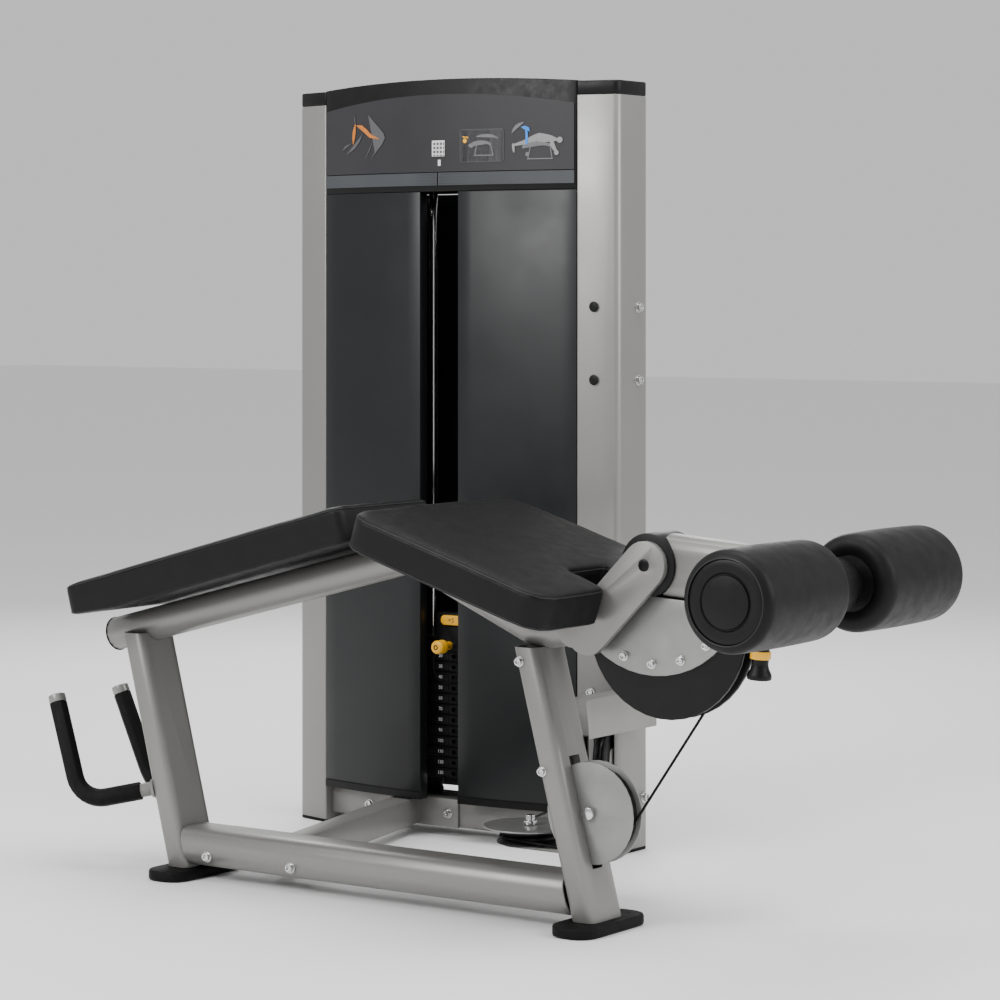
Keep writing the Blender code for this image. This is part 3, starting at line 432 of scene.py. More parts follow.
def screws():
    chrome = {"frame": [], "arm": []}
    for x in (-0.075, 0.130):
        chrome["frame"] += socket_screw(at(x, BENCH_Y - 0.0508, 0.049), FRONT)
    for x in (-0.215, -0.010):
        chrome["frame"] += socket_screw(at(x, -0.0063, 0.047), FRONT)
    for x, z in ((0.655, 0.472), (0.7045, 0.280)):
        chrome["frame"] += socket_screw(at(x, BENCH_Y - 0.0508, z), FRONT, 0.0072, 0.006, 0.0095)
    for y, z in ((0.071, 1.100), (0.071, 0.9525), (0.093, 0.106)):
        chrome["frame"] += socket_screw(at(0.410, y, z), RIGHT, 0.0085, 0.008, 0.0115)
        chrome["frame"] += socket_screw(at(-0.410, y, z), LEFT, 0.0085, 0.008, 0.0115)
    chrome["frame"] += socket_screw(at(0.352, front_y(0.352), 0.325), FRONT, 0.0075, 0.006, 0.010)
    for z in (0.20, 0.62, 1.02):
        for side in (-1, 1):
            chrome["frame"] += socket_screw(at(side * 0.300, 0.1065, z), BACK, 0.006, 0.005, 0.008)
    for angle in (-110, -90.5, -70.5, -51, -31):
        radius = 0.174
        turn = math.radians(angle)
        x = PIVOT_X + radius * math.cos(turn)
        z = PIVOT_Z + radius * math.sin(turn)
        chrome["arm"] += socket_screw(at(x, BENCH_Y - 0.0260, z), FRONT, 0.0068, 0.0055, 0.0088)
        chrome["arm"] += socket_screw(at(x, BENCH_Y + 0.0260, z), BACK, 0.0068, 0.0055, 0.0088)
    for body, meshes in chrome.items():
        piece_of("screws_on_" + body, merged(meshes), "chrome", body)
    plugs = []
    profile = rounded_profile([(0, 0), (0.0105, 0), (0.0105, 0.0025), (0, 0.0036)], 0.001, 3)
    for z in (1.101, 0.9536):
        seat = at(PLUG_X, front_y(PLUG_X) - 0.0002, z)
        plugs.append(turned(profile, seat, FRONT, 32))
    piece_of("upright_plugs", merged(plugs), "black_plastic", "frame")
    pivot_bolts()


def pivot_bolts():
    """The black button heads that lie in each ear, over the ends of the pivot shaft."""
    ends = []
    for side, axis in ((-1, FRONT), (1, BACK)):
        profile = [(0, 0), (0.0108, 0), (0.0108, 0.0012), (0.0055, 0.0022), (0.0055, -0.004), (0, -0.004)]
        base = at(PIVOT_X, BENCH_Y + side * 0.0545, PIVOT_Z)
        ends.append(turned(rounded_profile(profile, 0.0006, 2), base, axis, 32))
    piece_of("pivot_bolt_heads", merged(ends), "black_steel", "frame")


# ---------------------------------------------------------------- upholstery


def swell(mesh, pressure, top_cap, side_cap):
    """Cloth under pressure, with each point's travel capped. The underside stays flat on its board."""
    piece = bpy.data.objects.new("swelling", mesh)
    bpy.context.scene.collection.objects.link(piece)
    cloth = piece.modifiers.new("cloth", "CLOTH")
    cloth.settings.use_pressure = True
    cloth.settings.uniform_pressure_force = pressure
    cloth.settings.quality = 4
    cloth.settings.mass = 0.3
    cloth.settings.effector_weights.gravity = 0
    cloth.point_cache.frame_start = 1
    cloth.point_cache.frame_end = 20
    for step in range(1, 21):
        bpy.context.scene.frame_set(step)
    graph = bpy.context.evaluated_depsgraph_get()
    grown = bpy.data.meshes.new_from_object(piece.evaluated_get(graph))
    for still, moved in zip(mesh.vertices, grown.vertices):
        travel = moved.co - still.co
        facing = still.normal.z
        cap = top_cap if facing > 0.5 else side_cap if facing > -0.5 else 0.0006
        if travel.length > cap:
            travel = travel.normalized() * cap
        still.co = still.co + travel
    bpy.data.objects.remove(piece, do_unlink=True)
    bpy.context.scene.frame_set(1)


def voxelled(mesh, voxel, rounds):
    def remesh(holder):
        modifier = holder.modifiers.new("voxels", "REMESH")
        modifier.mode = "VOXEL"
        modifier.voxel_size = voxel
        relax = holder.modifiers.new("relax", "SMOOTH")
        relax.factor = 0.5
        relax.iterations = rounds

    return baked(mesh, remesh)


def crowned(mesh, middle, length, width, rise):
    """Raises the top towards the middle of the pad, as foam under a stretched cover does."""
    for vertex in mesh.vertices:
        if vertex.normal.z < 0.2:
            continue
        a = min(1, abs(vertex.co.x - middle.x) / (length / 2))
        b = min(1, abs(vertex.co.y - middle.y) / (width / 2))
        vertex.co.z += rise * (1 - 0.7 * a**4) * (1 - b**3)
    return mesh


def even_steps(loop, step):
    points = []
    for start, stop in zip(loop, loop[1:] + loop[:1]):
        pieces = max(1, round((stop - start).length / step))
        points += [start.lerp(stop, k / pieces) for k in range(pieces)]
    return points


def drawn_in(mesh, loop, step, sink, reach, depth):
    """Lays the loop on the mesh, pulled in by sink, and draws the surface down along it."""
    work = bmesh.new()
    work.from_mesh(mesh)
    tree = BVHTree.FromBMesh(work)
    work.free()
    laid = [tree.find_nearest(point) for point in even_steps(loop, step)]
    line = [hit[0] - hit[1] * sink for hit in laid]
    near = KDTree(len(line))
    for i, point in enumerate(line):
        near.insert(point, i)
    near.balance()
    for vertex in mesh.vertices:
        distance = near.find(vertex.co)[2]
        if distance < reach:
            vertex.co = vertex.co - vertex.normal * depth * (1 - distance / reach) ** 1.5
    return line


def stitches(mesh, loop, pitch=0.0055, length=0.0036, thick=0.0005):
    """Short raised threads along a loop, each one a slim pointed body."""
    work = bmesh.new()
    work.from_mesh(mesh)
    tree = BVHTree.FromBMesh(work)
    work.free()
    points = even_steps(loop, pitch)
    row = bmesh.new()
    for point, after in zip(points, points[1:] + points[:1]):
        place, normal = tree.find_nearest(point)[:2]
        along = (after - point).normalized()
        side = normal.cross(along).normalized()
        centre = place + normal * thick * 0.4
        ends = [row.verts.new(centre + along * length / 2 * k) for k in (-1, 1)]
        ring = [row.verts.new(centre + offset * thick) for offset in (side, normal, -side, -normal)]
        for i in range(4):
            row.faces.new((ring[i], ring[(i + 1) % 4], ends[1]))
            row.faces.new((ring[(i + 1) % 4], ring[i], ends[0]))
    bmesh.ops.recalc_face_normals(row, faces=row.faces)
    result = bpy.data.meshes.new("stitches")
    row.to_mesh(result)
    row.free()
    return result


def pad_frame(low_left, low_right):
    """Origin at the lower left corner, X along the pad, Y away from the viewer, Z through it."""
    start = at(low_left[0], BENCH_Y, low_left[1])
    along = (at(low_right[0], BENCH_Y, low_right[1]) - start).normalized()
    up = along.cross(BACK)
    matrix = Matrix((along, BACK, up)).transposed().to_4x4()
    return Matrix.Translation(start) @ matrix


def round_corners(points, radii, steps=6):
    points = [Vector(p) for p in points]
    result = []
    for i, corner in enumerate(points):
        back = (points[i - 1] - corner).normalized()
        ahead = (points[(i + 1) % len(points)] - corner).normalized()
        for k in range(steps + 1):
            t = k / steps
            result.append(corner + back * radii[i] * (1 - t) ** 2 + ahead * radii[i] * t * t)
    return result


def shrunk(outline, inset):
    """The outline moved inwards by inset, corner by corner. The outline runs anticlockwise."""
    result = []
    for i, corner in enumerate(outline):
        along = (outline[(i + 1) % len(outline)] - outline[i - 1]).normalized()
        result.append(corner + Vector((-along.y, along.x)) * inset)
    return result


def build_pad(name, node, outline, place, thick, rise, underside=None):
    """outline is the pad's plan in its own frame, and underside says how much it thins towards its ends."""
    mesh = prism(shrunk(outline, 0.0030), thick - 0.0045, Matrix.Translation((0, 0, 0.0005)))
    mesh = voxelled(mesh, 0.0055, 5)
    xs = [p[0] for p in outline]
    middle = Vector(((min(xs) + max(xs)) / 2, 0, thick / 2))
    length = max(xs) - min(xs)
    width = max(p[1] for p in outline) * 2
    swell(mesh, 4.0, 0.0035, 0.0030)
    crowned(mesh, middle, length, width, rise)
    if underside:
        for vertex in mesh.vertices:
            vertex.co.z += underside(vertex.co.x) * (1 - vertex.co.z / thick)
    mesh = baked(mesh, halve)
    rim = [Vector((p[0], p[1], thick - 0.0030)) for p in outline]
    line = drawn_in(mesh, rim, 0.004, 0.0002, 0.0050, 0.0016)
    row = [Vector((p[0], p[1], thick + 0.004)) for p in shrunk(outline, 0.0085)]
    threads = stitches(mesh, row)
    base = [Vector((p[0], p[1], 0.004)) for p in outline]
    welts = [tube(line, 0.0011, 8, True)]
    if not underside:
        welts.append(tube(drawn_in(mesh, base, 0.004, 0.0002, 0.0045, 0.0010), 0.0009, 8, True))
    for part in (mesh, threads, *welts):
        part.transform(place)
    pad = piece_of(name, mesh, "black_vinyl", "frame", 0)
    pad.data.shade_smooth()
    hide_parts(node)
    piece_of(name + "_piping", merged(welts), "thread", "frame", 60)
    piece_of(name + "_stitches", threads, "thread", "frame", 60)


def halve(holder):
    modifier = holder.modifiers.new("fine", "SUBSURF")
    modifier.levels = 1
    modifier.render_levels = 1


def pads():
    place = pad_frame((0.3985, 0.6810), (0.8340, 0.5460))
    length, half, thick = 0.4559, 0.262, 0.0686
    notch_start, notch = 0.368, 0.0590
    outline = [(0, -half), (length, -half), (length, -notch), (notch_start, -notch)]
    outline += [(notch_start, notch), (length, notch), (length, half), (0, half)]
    outline = round_corners(outline, (0.062, 0.062, 0.016, 0.007, 0.007, 0.016, 0.062, 0.062))
    build_pad("hip_cushion", "hip_pad", outline, place, thick, 0.0095)
    low, high = (-0.357, 0.4891), (0.336, 0.6760)
    place = pad_frame(low, high)
    length, half, thick = math.hypot(high[0] - low[0], high[1] - low[1]), 0.148, 0.0715

    def underside(x):
        return 0.012 * max(0.0, 1 - x / 0.125)

    outline = round_corners([(0, -half), (length, -half), (length, half), (0, half)], (0.030,) * 4)
    build_pad("head_cushion", "head_pad", outline, place, thick, 0.0045, underside)


def rollers():
    reach = 0.338
    x = PIVOT_X + reach * math.cos(ARM_DROP)
    z = PIVOT_Z - reach * math.sin(ARM_DROP)
    base = at(x, BENCH_Y, z)
    low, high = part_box("roller_near")
    inner = ORIGIN.y + BENCH_Y - high.y
    outer = ORIGIN.y + BENCH_Y - low.y
    radius = (high.z - low.z) / 2
    for name, axis in (("near", FRONT), ("far", BACK)):
        profile = [(0.0135, inner + 0.0045), (0.052, inner + 0.0045), (0.057, inner + 0.0005)]
        profile += quarter(radius - 0.020, inner + 0.020, 0.020, -90, 0)
        middle = (inner + outer) / 2
        span = (outer - inner) / 2 - 0.022
        for k in range(-7, 8):
            t = k / 8
            profile.append((radius + 0.0014 * (1 - t * t), middle + span * t))
        profile += quarter(radius - 0.019, outer - 0.019, 0.019, 0, 78)
        profile += [(0.0705, outer - 0.0006), (0.0692, outer - 0.0060), (0.0135, outer - 0.0060)]
        spin = name + "_roller"
        cover = turned(profile, base, axis, 96)
        cover = piece_of(f"{name}_roller_cover", cover, "black_vinyl", spin, 45)
        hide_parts("roller_" + name)
        welts = []
        for height, ring, thick in ((outer - 0.0012, 0.0708, 0.0012), (inner + 0.0030, 0.0575, 0.0010)):
            turns = [math.tau * k / 72 for k in range(72)]
            line = [Vector((ring * math.cos(turn), ring * math.sin(turn), height)) for turn in turns]
            place = Matrix.Translation(base) @ turn_to(axis)
            welts.append(tube([place @ point for point in line], thick, 8, True))
        piece_of(f"{name}_roller_piping", merged(welts), "thread", spin, 60)
        end = [(0, outer - 0.0058), (0.0688, outer - 0.0058), (0.0688, outer - 0.0030)]
        end += [(0.0660, outer - 0.0018), (0.0570, outer - 0.0012), (0.0485, outer - 0.0020)]
        end += [(0.0462, outer - 0.0046), (0.0445, outer - 0.0046), (0.0432, outer - 0.0016)]
        end += [(0.030, outer + 0.0008), (0.015, outer + 0.0020), (0, outer + 0.0024)]
        piece_of(f"{name}_roller_end", turned(end, base, axis, 96), "black_plastic", spin)
        core = [(0.0135, inner + 0.0040), (0.048, inner + 0.0040), (0.048, inner + 0.0010)]
        core += [(0.034, inner + 0.0002), (0.0135, inner + 0.0002)]
        piece_of(f"{name}_roller_core", turned(core, base, axis, 64), "black_plastic", spin)


def quarter(centre_r, centre_h, radius, start, stop, steps=8):
    """Points of an arc in a turned profile, with angles in degrees from straight outwards."""
    result = []
    for k in range(steps + 1):
        turn = math.radians(start + (stop - start) * k / steps)
        result.append((centre_r + radius * math.cos(turn), centre_h + radius * math.sin(turn)))
    return result


# ---------------------------------------------------------------- tower details


def curved_panel(x0, x1, low, high, thick, proud, steps=24):
    """A sheet that follows the tower's front. high is a height or a function of X."""
    top = high if callable(high) else lambda x: high
    work = bmesh.new()
    columns = []
    for k in range(steps + 1):
        x = x0 + (x1 - x0) * k / steps
        column = []
        for inset in (proud, proud - thick):
            for z in (low, top(x)):
                column.append(work.verts.new(at(x, front_y(x, inset), z)))
        columns.append(column)
    for a, b in zip(columns, columns[1:]):
        for i, j in ((0, 1), (1, 3), (3, 2), (2, 0)):
            work.faces.new((a[i], b[i], b[j], a[j]))
    for column in (columns[0], columns[-1]):
        work.faces.new((column[0], column[1], column[3], column[2]))
    bmesh.ops.recalc_face_normals(work, faces=work.faces)
    mesh = bpy.data.meshes.new("panel")
    work.to_mesh(mesh)
    work.free()
    return mesh


def ribbon(points, widths, proud=0.0034):
    """A printed stroke on the placard: a flat strip with round ends, following the curved front."""
    points = [Vector(p) for p in points]
    if not isinstance(widths, (list, tuple)):
        widths = [widths] * len(points)
    outline = []
    sides = ([], [])
    for i, point in enumerate(points):
        along = (points[min(i + 1, len(points) - 1)] - points[max(i - 1, 0)]).normalized()
        normal = Vector((-along.y, along.x))
        sides[0].append(point + normal * widths[i] / 2)
        sides[1].append(point - normal * widths[i] / 2)
    heading = (points[-1] - points[-2]).angle_signed(Vector((1, 0)))
    cap = []
    for k in range(1, 6):
        turn = heading + math.pi / 2 - math.pi * k / 6
        cap.append(points[-1] + Vector((math.cos(turn), math.sin(turn))) * widths[-1] / 2)
    heading = (points[0] - points[1]).angle_signed(Vector((1, 0)))
    tail = []
    for k in range(1, 6):
        turn = heading + math.pi / 2 - math.pi * k / 6
        tail.append(points[0] + Vector((math.cos(turn), math.sin(turn))) * widths[0] / 2)
    outline = sides[0] + cap + sides[1][::-1] + tail
    return printed(outline, proud)


def printed(outline, proud=0.0034):
    """A flat printed shape, given by its outline in X and Z, laid on the curved front."""
    work = bmesh.new()
    verts = [work.verts.new(at(p[0], front_y(p[0], proud), p[1])) for p in outline]
    work.faces.new(verts)
    bmesh.ops.triangulate(work, faces=work.faces)
    bmesh.ops.recalc_face_normals(work, faces=work.faces)
    for face in list(work.faces):
        if face.normal.y > 0:
            face.normal_flip()
    mesh = bpy.data.meshes.new("print")
    work.to_mesh(mesh)
    work.free()
    return mesh


def disc(x, z, radius, proud=0.0034, steps=24):
    turns = [math.tau * k / steps for k in range(steps)]
    return printed([(x + radius * math.cos(t), z + radius * math.sin(t)) for t in turns], proud)


def dotted_band():
    """Small hexagons that thin out on both sides of the divider."""
    dots = []
    pitch = 0.0058
    for row in range(4):
        for column in range(-13, 22):
            x = (column + 0.5 * (row % 2)) * pitch
            z = 1.3545 + row * 0.0062
            if abs(x) < 0.0045:
                continue
            reach = 0.085 if x < 0 else 0.125
            size = 0.0021 * (1 - abs(x) / reach)
            if size < 0.0004:
                continue
            turns = [math.tau * (k + 0.5) / 6 for k in range(6)]
            dots.append(printed([(x + size * math.cos(t), z + size * math.sin(t)) for t in turns], 0.0030))
    return merged(dots)


LEG_LINES = [
    [(-0.2280, 1.5036), (-0.2290, 1.4913), (-0.2249, 1.4806)],
    [(-0.1883, 1.5021), (-0.1810, 1.4913), (-0.1641, 1.4767), (-0.1450, 1.4622), (-0.1412, 1.4533),
     (-0.1474, 1.4413), (-0.1689, 1.4227), (-0.1810, 1.4091)],
    [(-0.1776, 1.4440), (-0.1834, 1.4302), (-0.1971, 1.4095)],
    [(-0.2381, 1.4441), (-0.2575, 1.4377), (-0.2663, 1.4281)],
    [(-0.2055, 1.4624), (-0.2129, 1.4486), (-0.2280, 1.4332), (-0.2534, 1.4199)],
]
MACHINE_LINES = [
    [(0.0923, 1.4100), (0.1381, 1.4100)],
    [(0.0984, 1.4320), (0.0935, 1.4100)],
    [(0.1322, 1.4312), (0.1373, 1.4100)],
    [(0.0984, 1.4484), (0.1104, 1.4519), (0.1243, 1.4525), (0.1381, 1.4502), (0.1479, 1.4445)],
    [(0.2168, 1.4007), (0.2723, 1.4007)],
    [(0.2243, 1.4286), (0.2180, 1.4006)],
    [(0.2668, 1.4294), (0.2715, 1.4014)],
]


def leg_picture():
    """A bent leg in thin outline, with the two muscles at work filled in."""
    grey = []
    for line in LEG_LINES:
        grey.append(ribbon(line, [0.0006, *[0.0014] * (len(line) - 2), 0.0006]))
    long = [(-0.2262, 1.4840), (-0.2286, 1.4760), (-0.2305, 1.4650), (-0.2322, 1.4530), (-0.2330, 1.4420)]
    bent = [(-0.2215, 1.4805), (-0.2085, 1.4780), (-0.1955, 1.4680), (-0.1825, 1.4575), (-0.1583, 1.4511)]
    orange = [
        ribbon(long, [0.0016, 0.0062, 0.0092, 0.0070, 0.0018], 0.0035),
        ribbon(bent, [0.0024, 0.0070, 0.0098, 0.0078, 0.0014], 0.0036),
    ]
    return grey, orange


def machine_pictures():
    """Two small outlines of the bench. A plain jointed figure lies on the second one."""
    grey = [ribbon(line, 0.0022) for line in MACHINE_LINES]
    pad_a = [(0.0814, 1.4307), (0.0923, 1.4356), (0.1064, 1.4380), (0.1204, 1.4370), (0.1303, 1.4326)]
    pad_b = [(0.2074, 1.4249), (0.2187, 1.4300), (0.2392, 1.4330), (0.2540, 1.4307), (0.2668, 1.4277)]
    grey += [ribbon(pad_a, 0.0056, 0.0035), ribbon(pad_b, 0.0060, 0.0035)]
    grey += [disc(0.0863, 1.4303, 0.0046, 0.0036), disc(0.2168, 1.4101, 0.0046, 0.0036)]
    body = [(0.1892, 1.4300), (0.2036, 1.4331), (0.2224, 1.4381), (0.2336, 1.4440), (0.2440, 1.4468)]
    body += [(0.2576, 1.4442), (0.2704, 1.4415), (0.2832, 1.4385)]
    pale = [
        ribbon(body, [0.0050, 0.0070, 0.0092, 0.0110, 0.0122, 0.0124, 0.0110, 0.0050], 0.0038),
        ribbon([(0.2704, 1.4411), (0.2690, 1.4294), (0.2748, 1.4202), (0.2813, 1.4140)], 0.0046, 0.0039),
        ribbon([(0.1850, 1.4300), (0.1854, 1.4219), (0.1862, 1.4158)], [0.0060, 0.0056, 0.0034], 0.0039),
        disc(0.2886, 1.4381, 0.0062, 0.0040),
        disc(0.2813, 1.4123, 0.0050, 0.0040),
    ]
    arc = [(0.1816, 1.4539), (0.1846, 1.4616), (0.1904, 1.4682), (0.1980, 1.4725), (0.2074, 1.4746)]
    tip = [(0.2029, 1.4656), (0.2112, 1.4681), (0.2209, 1.4645)]
    tip += [(0.2232, 1.4563), (0.2149, 1.4592), (0.2097, 1.4607)]
    blue = [
        ribbon([(0.2153, 1.4328), (0.2157, 1.4457), (0.2149, 1.4600)], 0.0052, 0.0042),
        printed(tip, 0.0043),
    ]
    return grey, pale, blue, ribbon(arc, [0.0012, 0.0022, 0.0028, 0.0030, 0.0030], 0.0037)


def placard():
    def arch(x):
        return 1.5385 - x * x / 8.8 - 0.0145 * (abs(x) / 0.318) ** 2

    half = 0.3180
    panel = curved_panel(-half, half, 1.3785, arch, 0.0012, 0.0022)
    piece_of("header_placard", panel, "placard_print", "frame")
    band = [curved_panel(-half, -0.0016, 1.3505, 1.3765, 0.0012, 0.0022)]
    band.append(curved_panel(0.0016, half, 1.3505, 1.3765, 0.0012, 0.0022))
    piece_of("header_band", merged(band), "band_print", "frame")
    piece_of("header_band_dots", dotted_band(), "dark_ink", "frame")
    lines, orange = leg_picture()
    grey, pale, blue, arc = machine_pictures()
    corners = [(0.0576, 1.3970), (0.1623, 1.3970), (0.1623, 1.4635), (0.0576, 1.4635)]
    frame_loop = [tuple(p) for p in round_corners(corners, (0.006,) * 4)]
    lines.append(ribbon(frame_loop + frame_loop[:2], 0.0009))
    piece_of("placard_lines", merged(lines), "dim_ink", "frame")
    piece_of("placard_machines", merged([*grey, arc]), "grey_ink", "frame")
    piece_of("placard_figure", merged(pale), "pale_ink", "frame")
    piece_of("placard_arrow", merged(blue), "blue_ink", "frame")
    piece_of("placard_highlight", merged(orange), "orange_ink", "frame")
    marks = [disc(0.0700, 1.4406, 0.0048, 0.0037)]
    marks.append(ribbon([(0.0655, 1.4490), (0.0700, 1.4480)], 0.0026, 0.0037))
    marks.append(ribbon([(0.0728, 1.4482), (0.0775, 1.4471)], 0.0026, 0.0037))
    piece_of("placard_pin_mark", merged(marks), "yellow_plastic", "frame")
    tile = [printed([(-0.0132, 1.4103), (0.0192, 1.4103), (0.0192, 1.4430), (-0.0132, 1.4430)])]
    tile.append(printed([(0.0022, 1.3907), (0.0092, 1.3907), (0.0092, 1.4033), (0.0022, 1.4033)]))
    piece_of("placard_tile", merged(tile), "white_ink", "frame")
    squares = []
    side = 0.0028
    for i in range(11):
        for j in range(11):
            if (i * 5 + j * 3 + i * j) % 3 == 0:
                continue
            x0 = -0.0124 + i * side
            z0 = 1.4111 + j * side
            reach = side * 0.92
            corners = [(x0, z0), (x0 + reach, z0), (x0 + reach, z0 + reach), (x0, z0 + reach)]
            squares.append(printed(corners, 0.0037))
    piece_of("placard_tile_squares", merged(squares), "dim_ink", "frame")


def shield_trim():
    lips = [
        curved_panel(-0.3212, -0.0472, 0.0785, 0.0930, 0.0016, 0.0018),
        curved_panel(0.0502, 0.3212, 0.0785, 0.0930, 0.0016, 0.0018),
    ]
    piece_of("shield_lips", merged(lips), "black_plastic", "frame")
    cushions = []
    profile = [(0.0105, 0.0770), (0.021, 0.0770), (0.0225, 0.085), (0.0195, 0.092)]
    profile += [(0.0225, 0.100), (0.0205, 0.117), (0.0105, 0.117)]
    for x in (-0.094, 0.094):
        cushions.append(turned(profile, at(x, 0.056, 0), UP, 40))
    piece_of("stack_cushions", merged(cushions), "black_rubber", "frame")


def label(text, size, place, turn):
    curve = bpy.data.curves.new("label", "FONT")
    curve.body = text
    curve.size = size
    curve.align_x = "CENTER"
    curve.align_y = "CENTER"
    curve.extrude = 0.00012
    mesh = baked(curve)
    mesh.transform(Matrix.Translation(place) @ turn)
    return mesh


def stack_details():
    upright = Matrix.Rotation(math.radians(90), 4, "X")
    numbers = []
    blocks = []
    for i in range(PLATE_COUNT):
        z = STACK_LOW + (PLATE_COUNT - i - 0.5) * PLATE_PITCH
        numbers.append(label(str(10 * (i + 2)), 0.0098, at(-0.034, -0.0004, z), upright))
        outer = [(0.0155, -0.0085), (0.0155, 0.0085), (-0.0155, 0.0085), (-0.0155, -0.0085)]
        frame_points = [at(0.002 + a, -0.0006, z + b) for a, b in outer]
        blocks.append(tube(frame_points, 0.0006, 8, True))
        blocks.append(turned([(0.0052, 0), (0.0075, 0), (0.0075, 0.0010), (0.0060, 0.0013), (0.0052, 0.0010)],
                             at(0, 0.0, z), FRONT, 32))
    piece_of("plate_numbers", merged(numbers), "white_ink", "frame", 0)
    piece_of("plate_pin_seats", merged(blocks), "black_plastic", "frame")
    slider_low, slider_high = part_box("increment_slider")
    middle = (slider_low + slider_high) / 2
    mark = label("+5", 0.0145, Vector((middle.x, slider_low.y - 0.0002, middle.z)), upright)
    piece_of("increment_mark", mark, "dark_ink", "increment_tab", 0)


def weight_pin():
    low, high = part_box("selector_pin")
    base = Vector(((low.x + high.x) / 2, low.y, (low.z + high.z) / 2))
    head = [(0, 0), (0.0115, 0), (0.0140, 0.004), (0.0140, 0.010), (0.0128, 0.014)]
    head += [(0.0140, 0.018), (0.0140, 0.026), (0.0100, 0.032), (0.0088, 0.036)]
    head += [(0.0085, 0.049), (0.0060, 0.0495), (0, 0.0495)]
    shape = turned(rounded_profile(head, 0.0018, 3), base, BACK, 48)
    knob = piece_of("weight_pin_head", shape, "yellow_plastic", "weight_pin", 50)
    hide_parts("selector_pin")
    shaft = [(0, 0.0490), (0.0042, 0.0490), (0.0042, 0.121), (0.0030, 0.1235), (0, 0.1235)]
    piece_of("weight_pin_shaft", turned(shaft, base, BACK, 32), "chrome", "weight_pin")
    eye = [(0.0030, -0.0006), (0.0052, -0.0006), (0.0052, 0.0010), (0.0030, 0.0010)]
    piece_of("weight_pin_eye", turned(eye, base, BACK, 32), "black_plastic", "weight_pin")


def standing_in(node):
    """A loose copy of a CAD node that stands in for it, smooth-shaded with its sharp edges kept."""
    mesh = cleaned(frame["nodes"][node].data.copy())
    mesh.materials.clear()
    mesh.materials.append(MATERIALS[SLOT_OF_NODE[node]])
    mesh.shade_smooth()
    mesh.set_sharp_from_angle(angle=math.radians(50))
    piece = bpy.data.objects.new(node + "_finished", mesh)
    bpy.context.scene.collection.objects.link(piece)
    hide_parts(node)
    return piece


def lanyard():
    cord = standing_in("pin_lanyard")
    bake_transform(cord)


def stack_cable():
    cord = standing_in("stack_cable")
    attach(cord, "frame")
    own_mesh(cord)


# ---------------------------------------------------------------- arm details


def arm_axes():
    along = Vector((math.cos(ARM_DROP), 0, -math.sin(ARM_DROP)))
    down = Vector((-math.sin(ARM_DROP), 0, -math.cos(ARM_DROP)))
    return along, down


def pull_pin():
    along, down = arm_axes()
    seat = at(PIVOT_X, BENCH_Y, PIVOT_Z) + along * 0.2125 + down * 0.0553
    base = seat + down * 0.0503
    body = [(0, -0.045), (0.006, -0.045), (0.006, 0), (0.0165, 0), (0.0170, 0.004)]
    body += [(0.0170, 0.015), (0.0150, 0.018), (0.0150, 0.034), (0.0145, 0.044), (0.0165, 0.052)]
    body += [(0.0208, 0.060), (0.0215, 0.064), (0.0212, 0.069), (0.0190, 0.070), (0.0090, 0.068)]
    body += [(0, 0.067)]
    shape = turned(rounded_profile(body, 0.0012, 3), base, down, 64)
    knob = piece_of("pull_pin_grip", shape, "black_plastic", "pull_pin", 50)
    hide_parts("pull_knob")
    band = [(0.0148, 0.0205), (0.0176, 0.0205), (0.0180, 0.0225)]
    band += [(0.0180, 0.0320), (0.0176, 0.0340), (0.0148, 0.0340)]
    ring = turned(band, base, down, 64)
    piece_of("pull_pin_ring", ring, "yellow_plastic", "pull_pin")
    grooves = []
    for height in (0.0455, 0.0485):
        rib = [(0.0140, height), (0.0152, height + 0.0004), (0.0140, height + 0.0008)]
        grooves.append(turned(rib, base, down, 48))
    piece_of("pull_pin_ribs", merged(grooves), "black_plastic", "pull_pin")


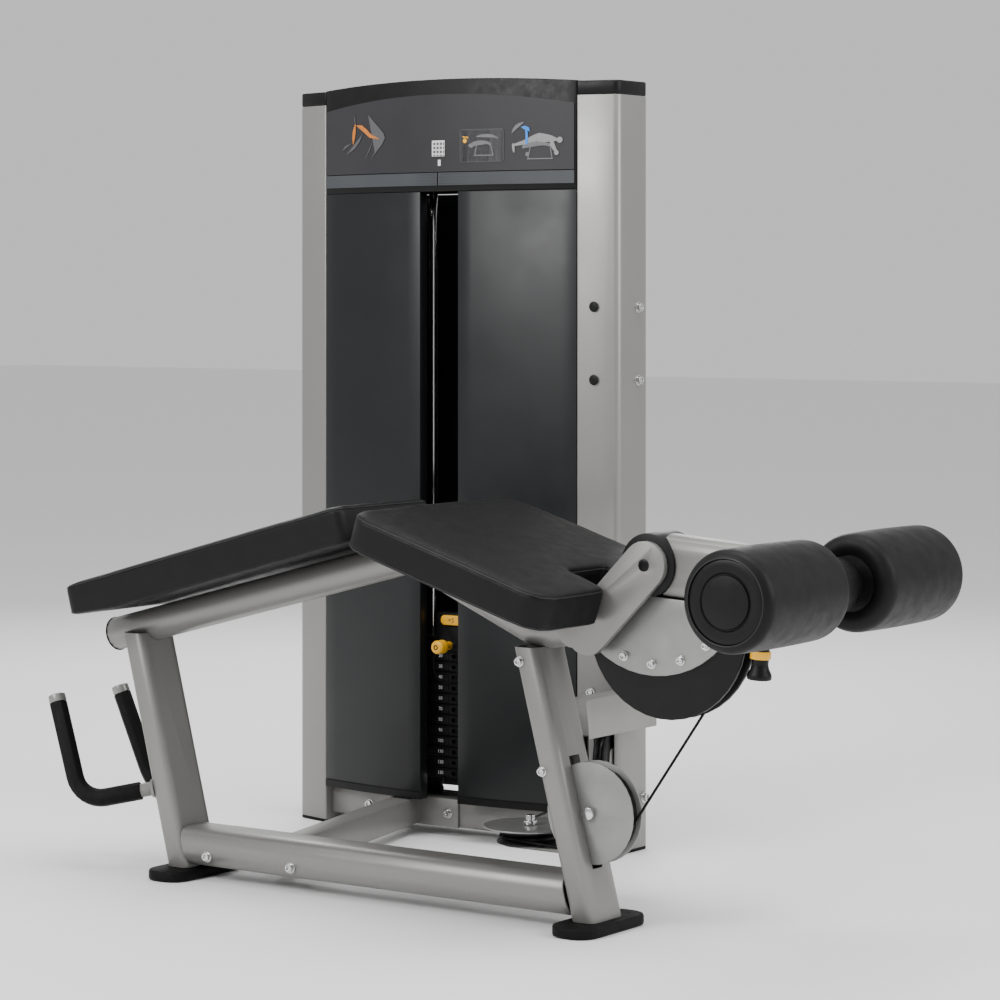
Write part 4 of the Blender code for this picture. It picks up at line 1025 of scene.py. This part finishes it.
def end_caps():
    path_start = at(-0.350, BENCH_Y, 0.4555)
    slope = Vector((0.690, 0, 0.1795)).normalized()
    profile = [(0, -0.0045), (0.031, -0.0045), (0.0335, -0.0020), (0.0335, -0.0003), (0, -0.0003)]
    cap = turned(rounded_profile(profile, 0.0015, 3), path_start, slope, 48)
    piece_of("top_tube_cap", cap, "black_plastic", "frame")
    tops = []
    rings = []
    for side in (-1, 1):
        top = at(-0.4290, BENCH_Y + side * 0.092, 0.3350)
        bend = at(-0.3500, BENCH_Y + side * 0.108, 0.1360)
        axis = (top - bend).normalized()
        profile = [(0, 0.004), (0.0120, 0.004), (0.0168, 0.002), (0.0172, -0.0125)]
        profile += [(0.0137, -0.0125), (0.0137, 0.0003), (0, 0.0003)]
        tops.append(turned(rounded_profile(profile, 0.0012, 3), top, axis, 40))
        foot = at(-0.2235, BENCH_Y + side * 0.033, 0.1650)
        out = (bend - foot).normalized()
        ring = [(0.0137, 0.001), (0.0195, 0.001), (0.0175, 0.006), (0.0137, 0.0085)]
        rings.append(turned(ring, foot, out, 40))
    piece_of("handle_caps", merged(tops), "bright_steel", "frame")
    piece_of("handle_welds", merged(rings), "silver_paint", "frame")


BEVELS = {
    "upright_left": 0.0012, "upright_right": 0.0012, "upright_cap_left": 0.0030,
    "upright_cap_right": 0.0030, "upright_foot_left": 0.0012, "upright_foot_right": 0.0012,
    "header_housing": 0.0030, "shield_left": 0.0010, "shield_right": 0.0010, "rear_shield": 0.0010,
    "base_beam": 0.0012, "top_crossmember": 0.0008, "guide_rod_left": 0.0010, "guide_rod_right": 0.0010,
    "weight_plates": 0.0003, "head_plate": 0.0012, "selector_rod": 0.0008, "increment_slider": 0.0014,
    "leg_left": 0.0010, "leg_right": 0.0010, "foot_left": 0.0040, "foot_right": 0.0040,
    "base_tube": 0.0008, "cross_tube": 0.0012, "link_tube": 0.0030, "top_tube": 0.0006,
    "pivot_fork": 0.0015, "handle_near": 0.0004, "handle_far": 0.0004, "grip_near": 0.0015,
    "grip_far": 0.0015, "arm_tube": 0.0008, "pivot_hub": 0.0015, "sector_near": 0.0010,
    "sector_far": 0.0010, "cam": 0.0012, "pin_housing": 0.0008, "roller_slide": 0.0020,
    "leg_pulley": 0.0006, "floor_pulley": 0.0006, "entry_pulley": 0.0006, "top_pulley_outer": 0.0006,
    "top_pulley_centre": 0.0006, "leg_pulley_guard_near": 0.0007, "leg_pulley_guard_far": 0.0007,
    "leg_pulley_axle": 0.0010, "floor_pulley_guard": 0.0007, "floor_pulley_bracket": 0.0010,
    "floor_pulley_axle": 0.0010, "entry_pulley_bracket": 0.0006, "pivot_shaft": 0.0006,
}


def main():
    make_camera()
    make_stage()
    make_materials()
    for node, width in BEVELS.items():
        refined(node, width)
    refined("drive_cable", 0)
    stack_cable()
    lanyard()
    pads()
    rollers()
    placard()
    shield_trim()
    stack_details()
    weight_pin()
    pull_pin()
    end_caps()
    screws()


main()
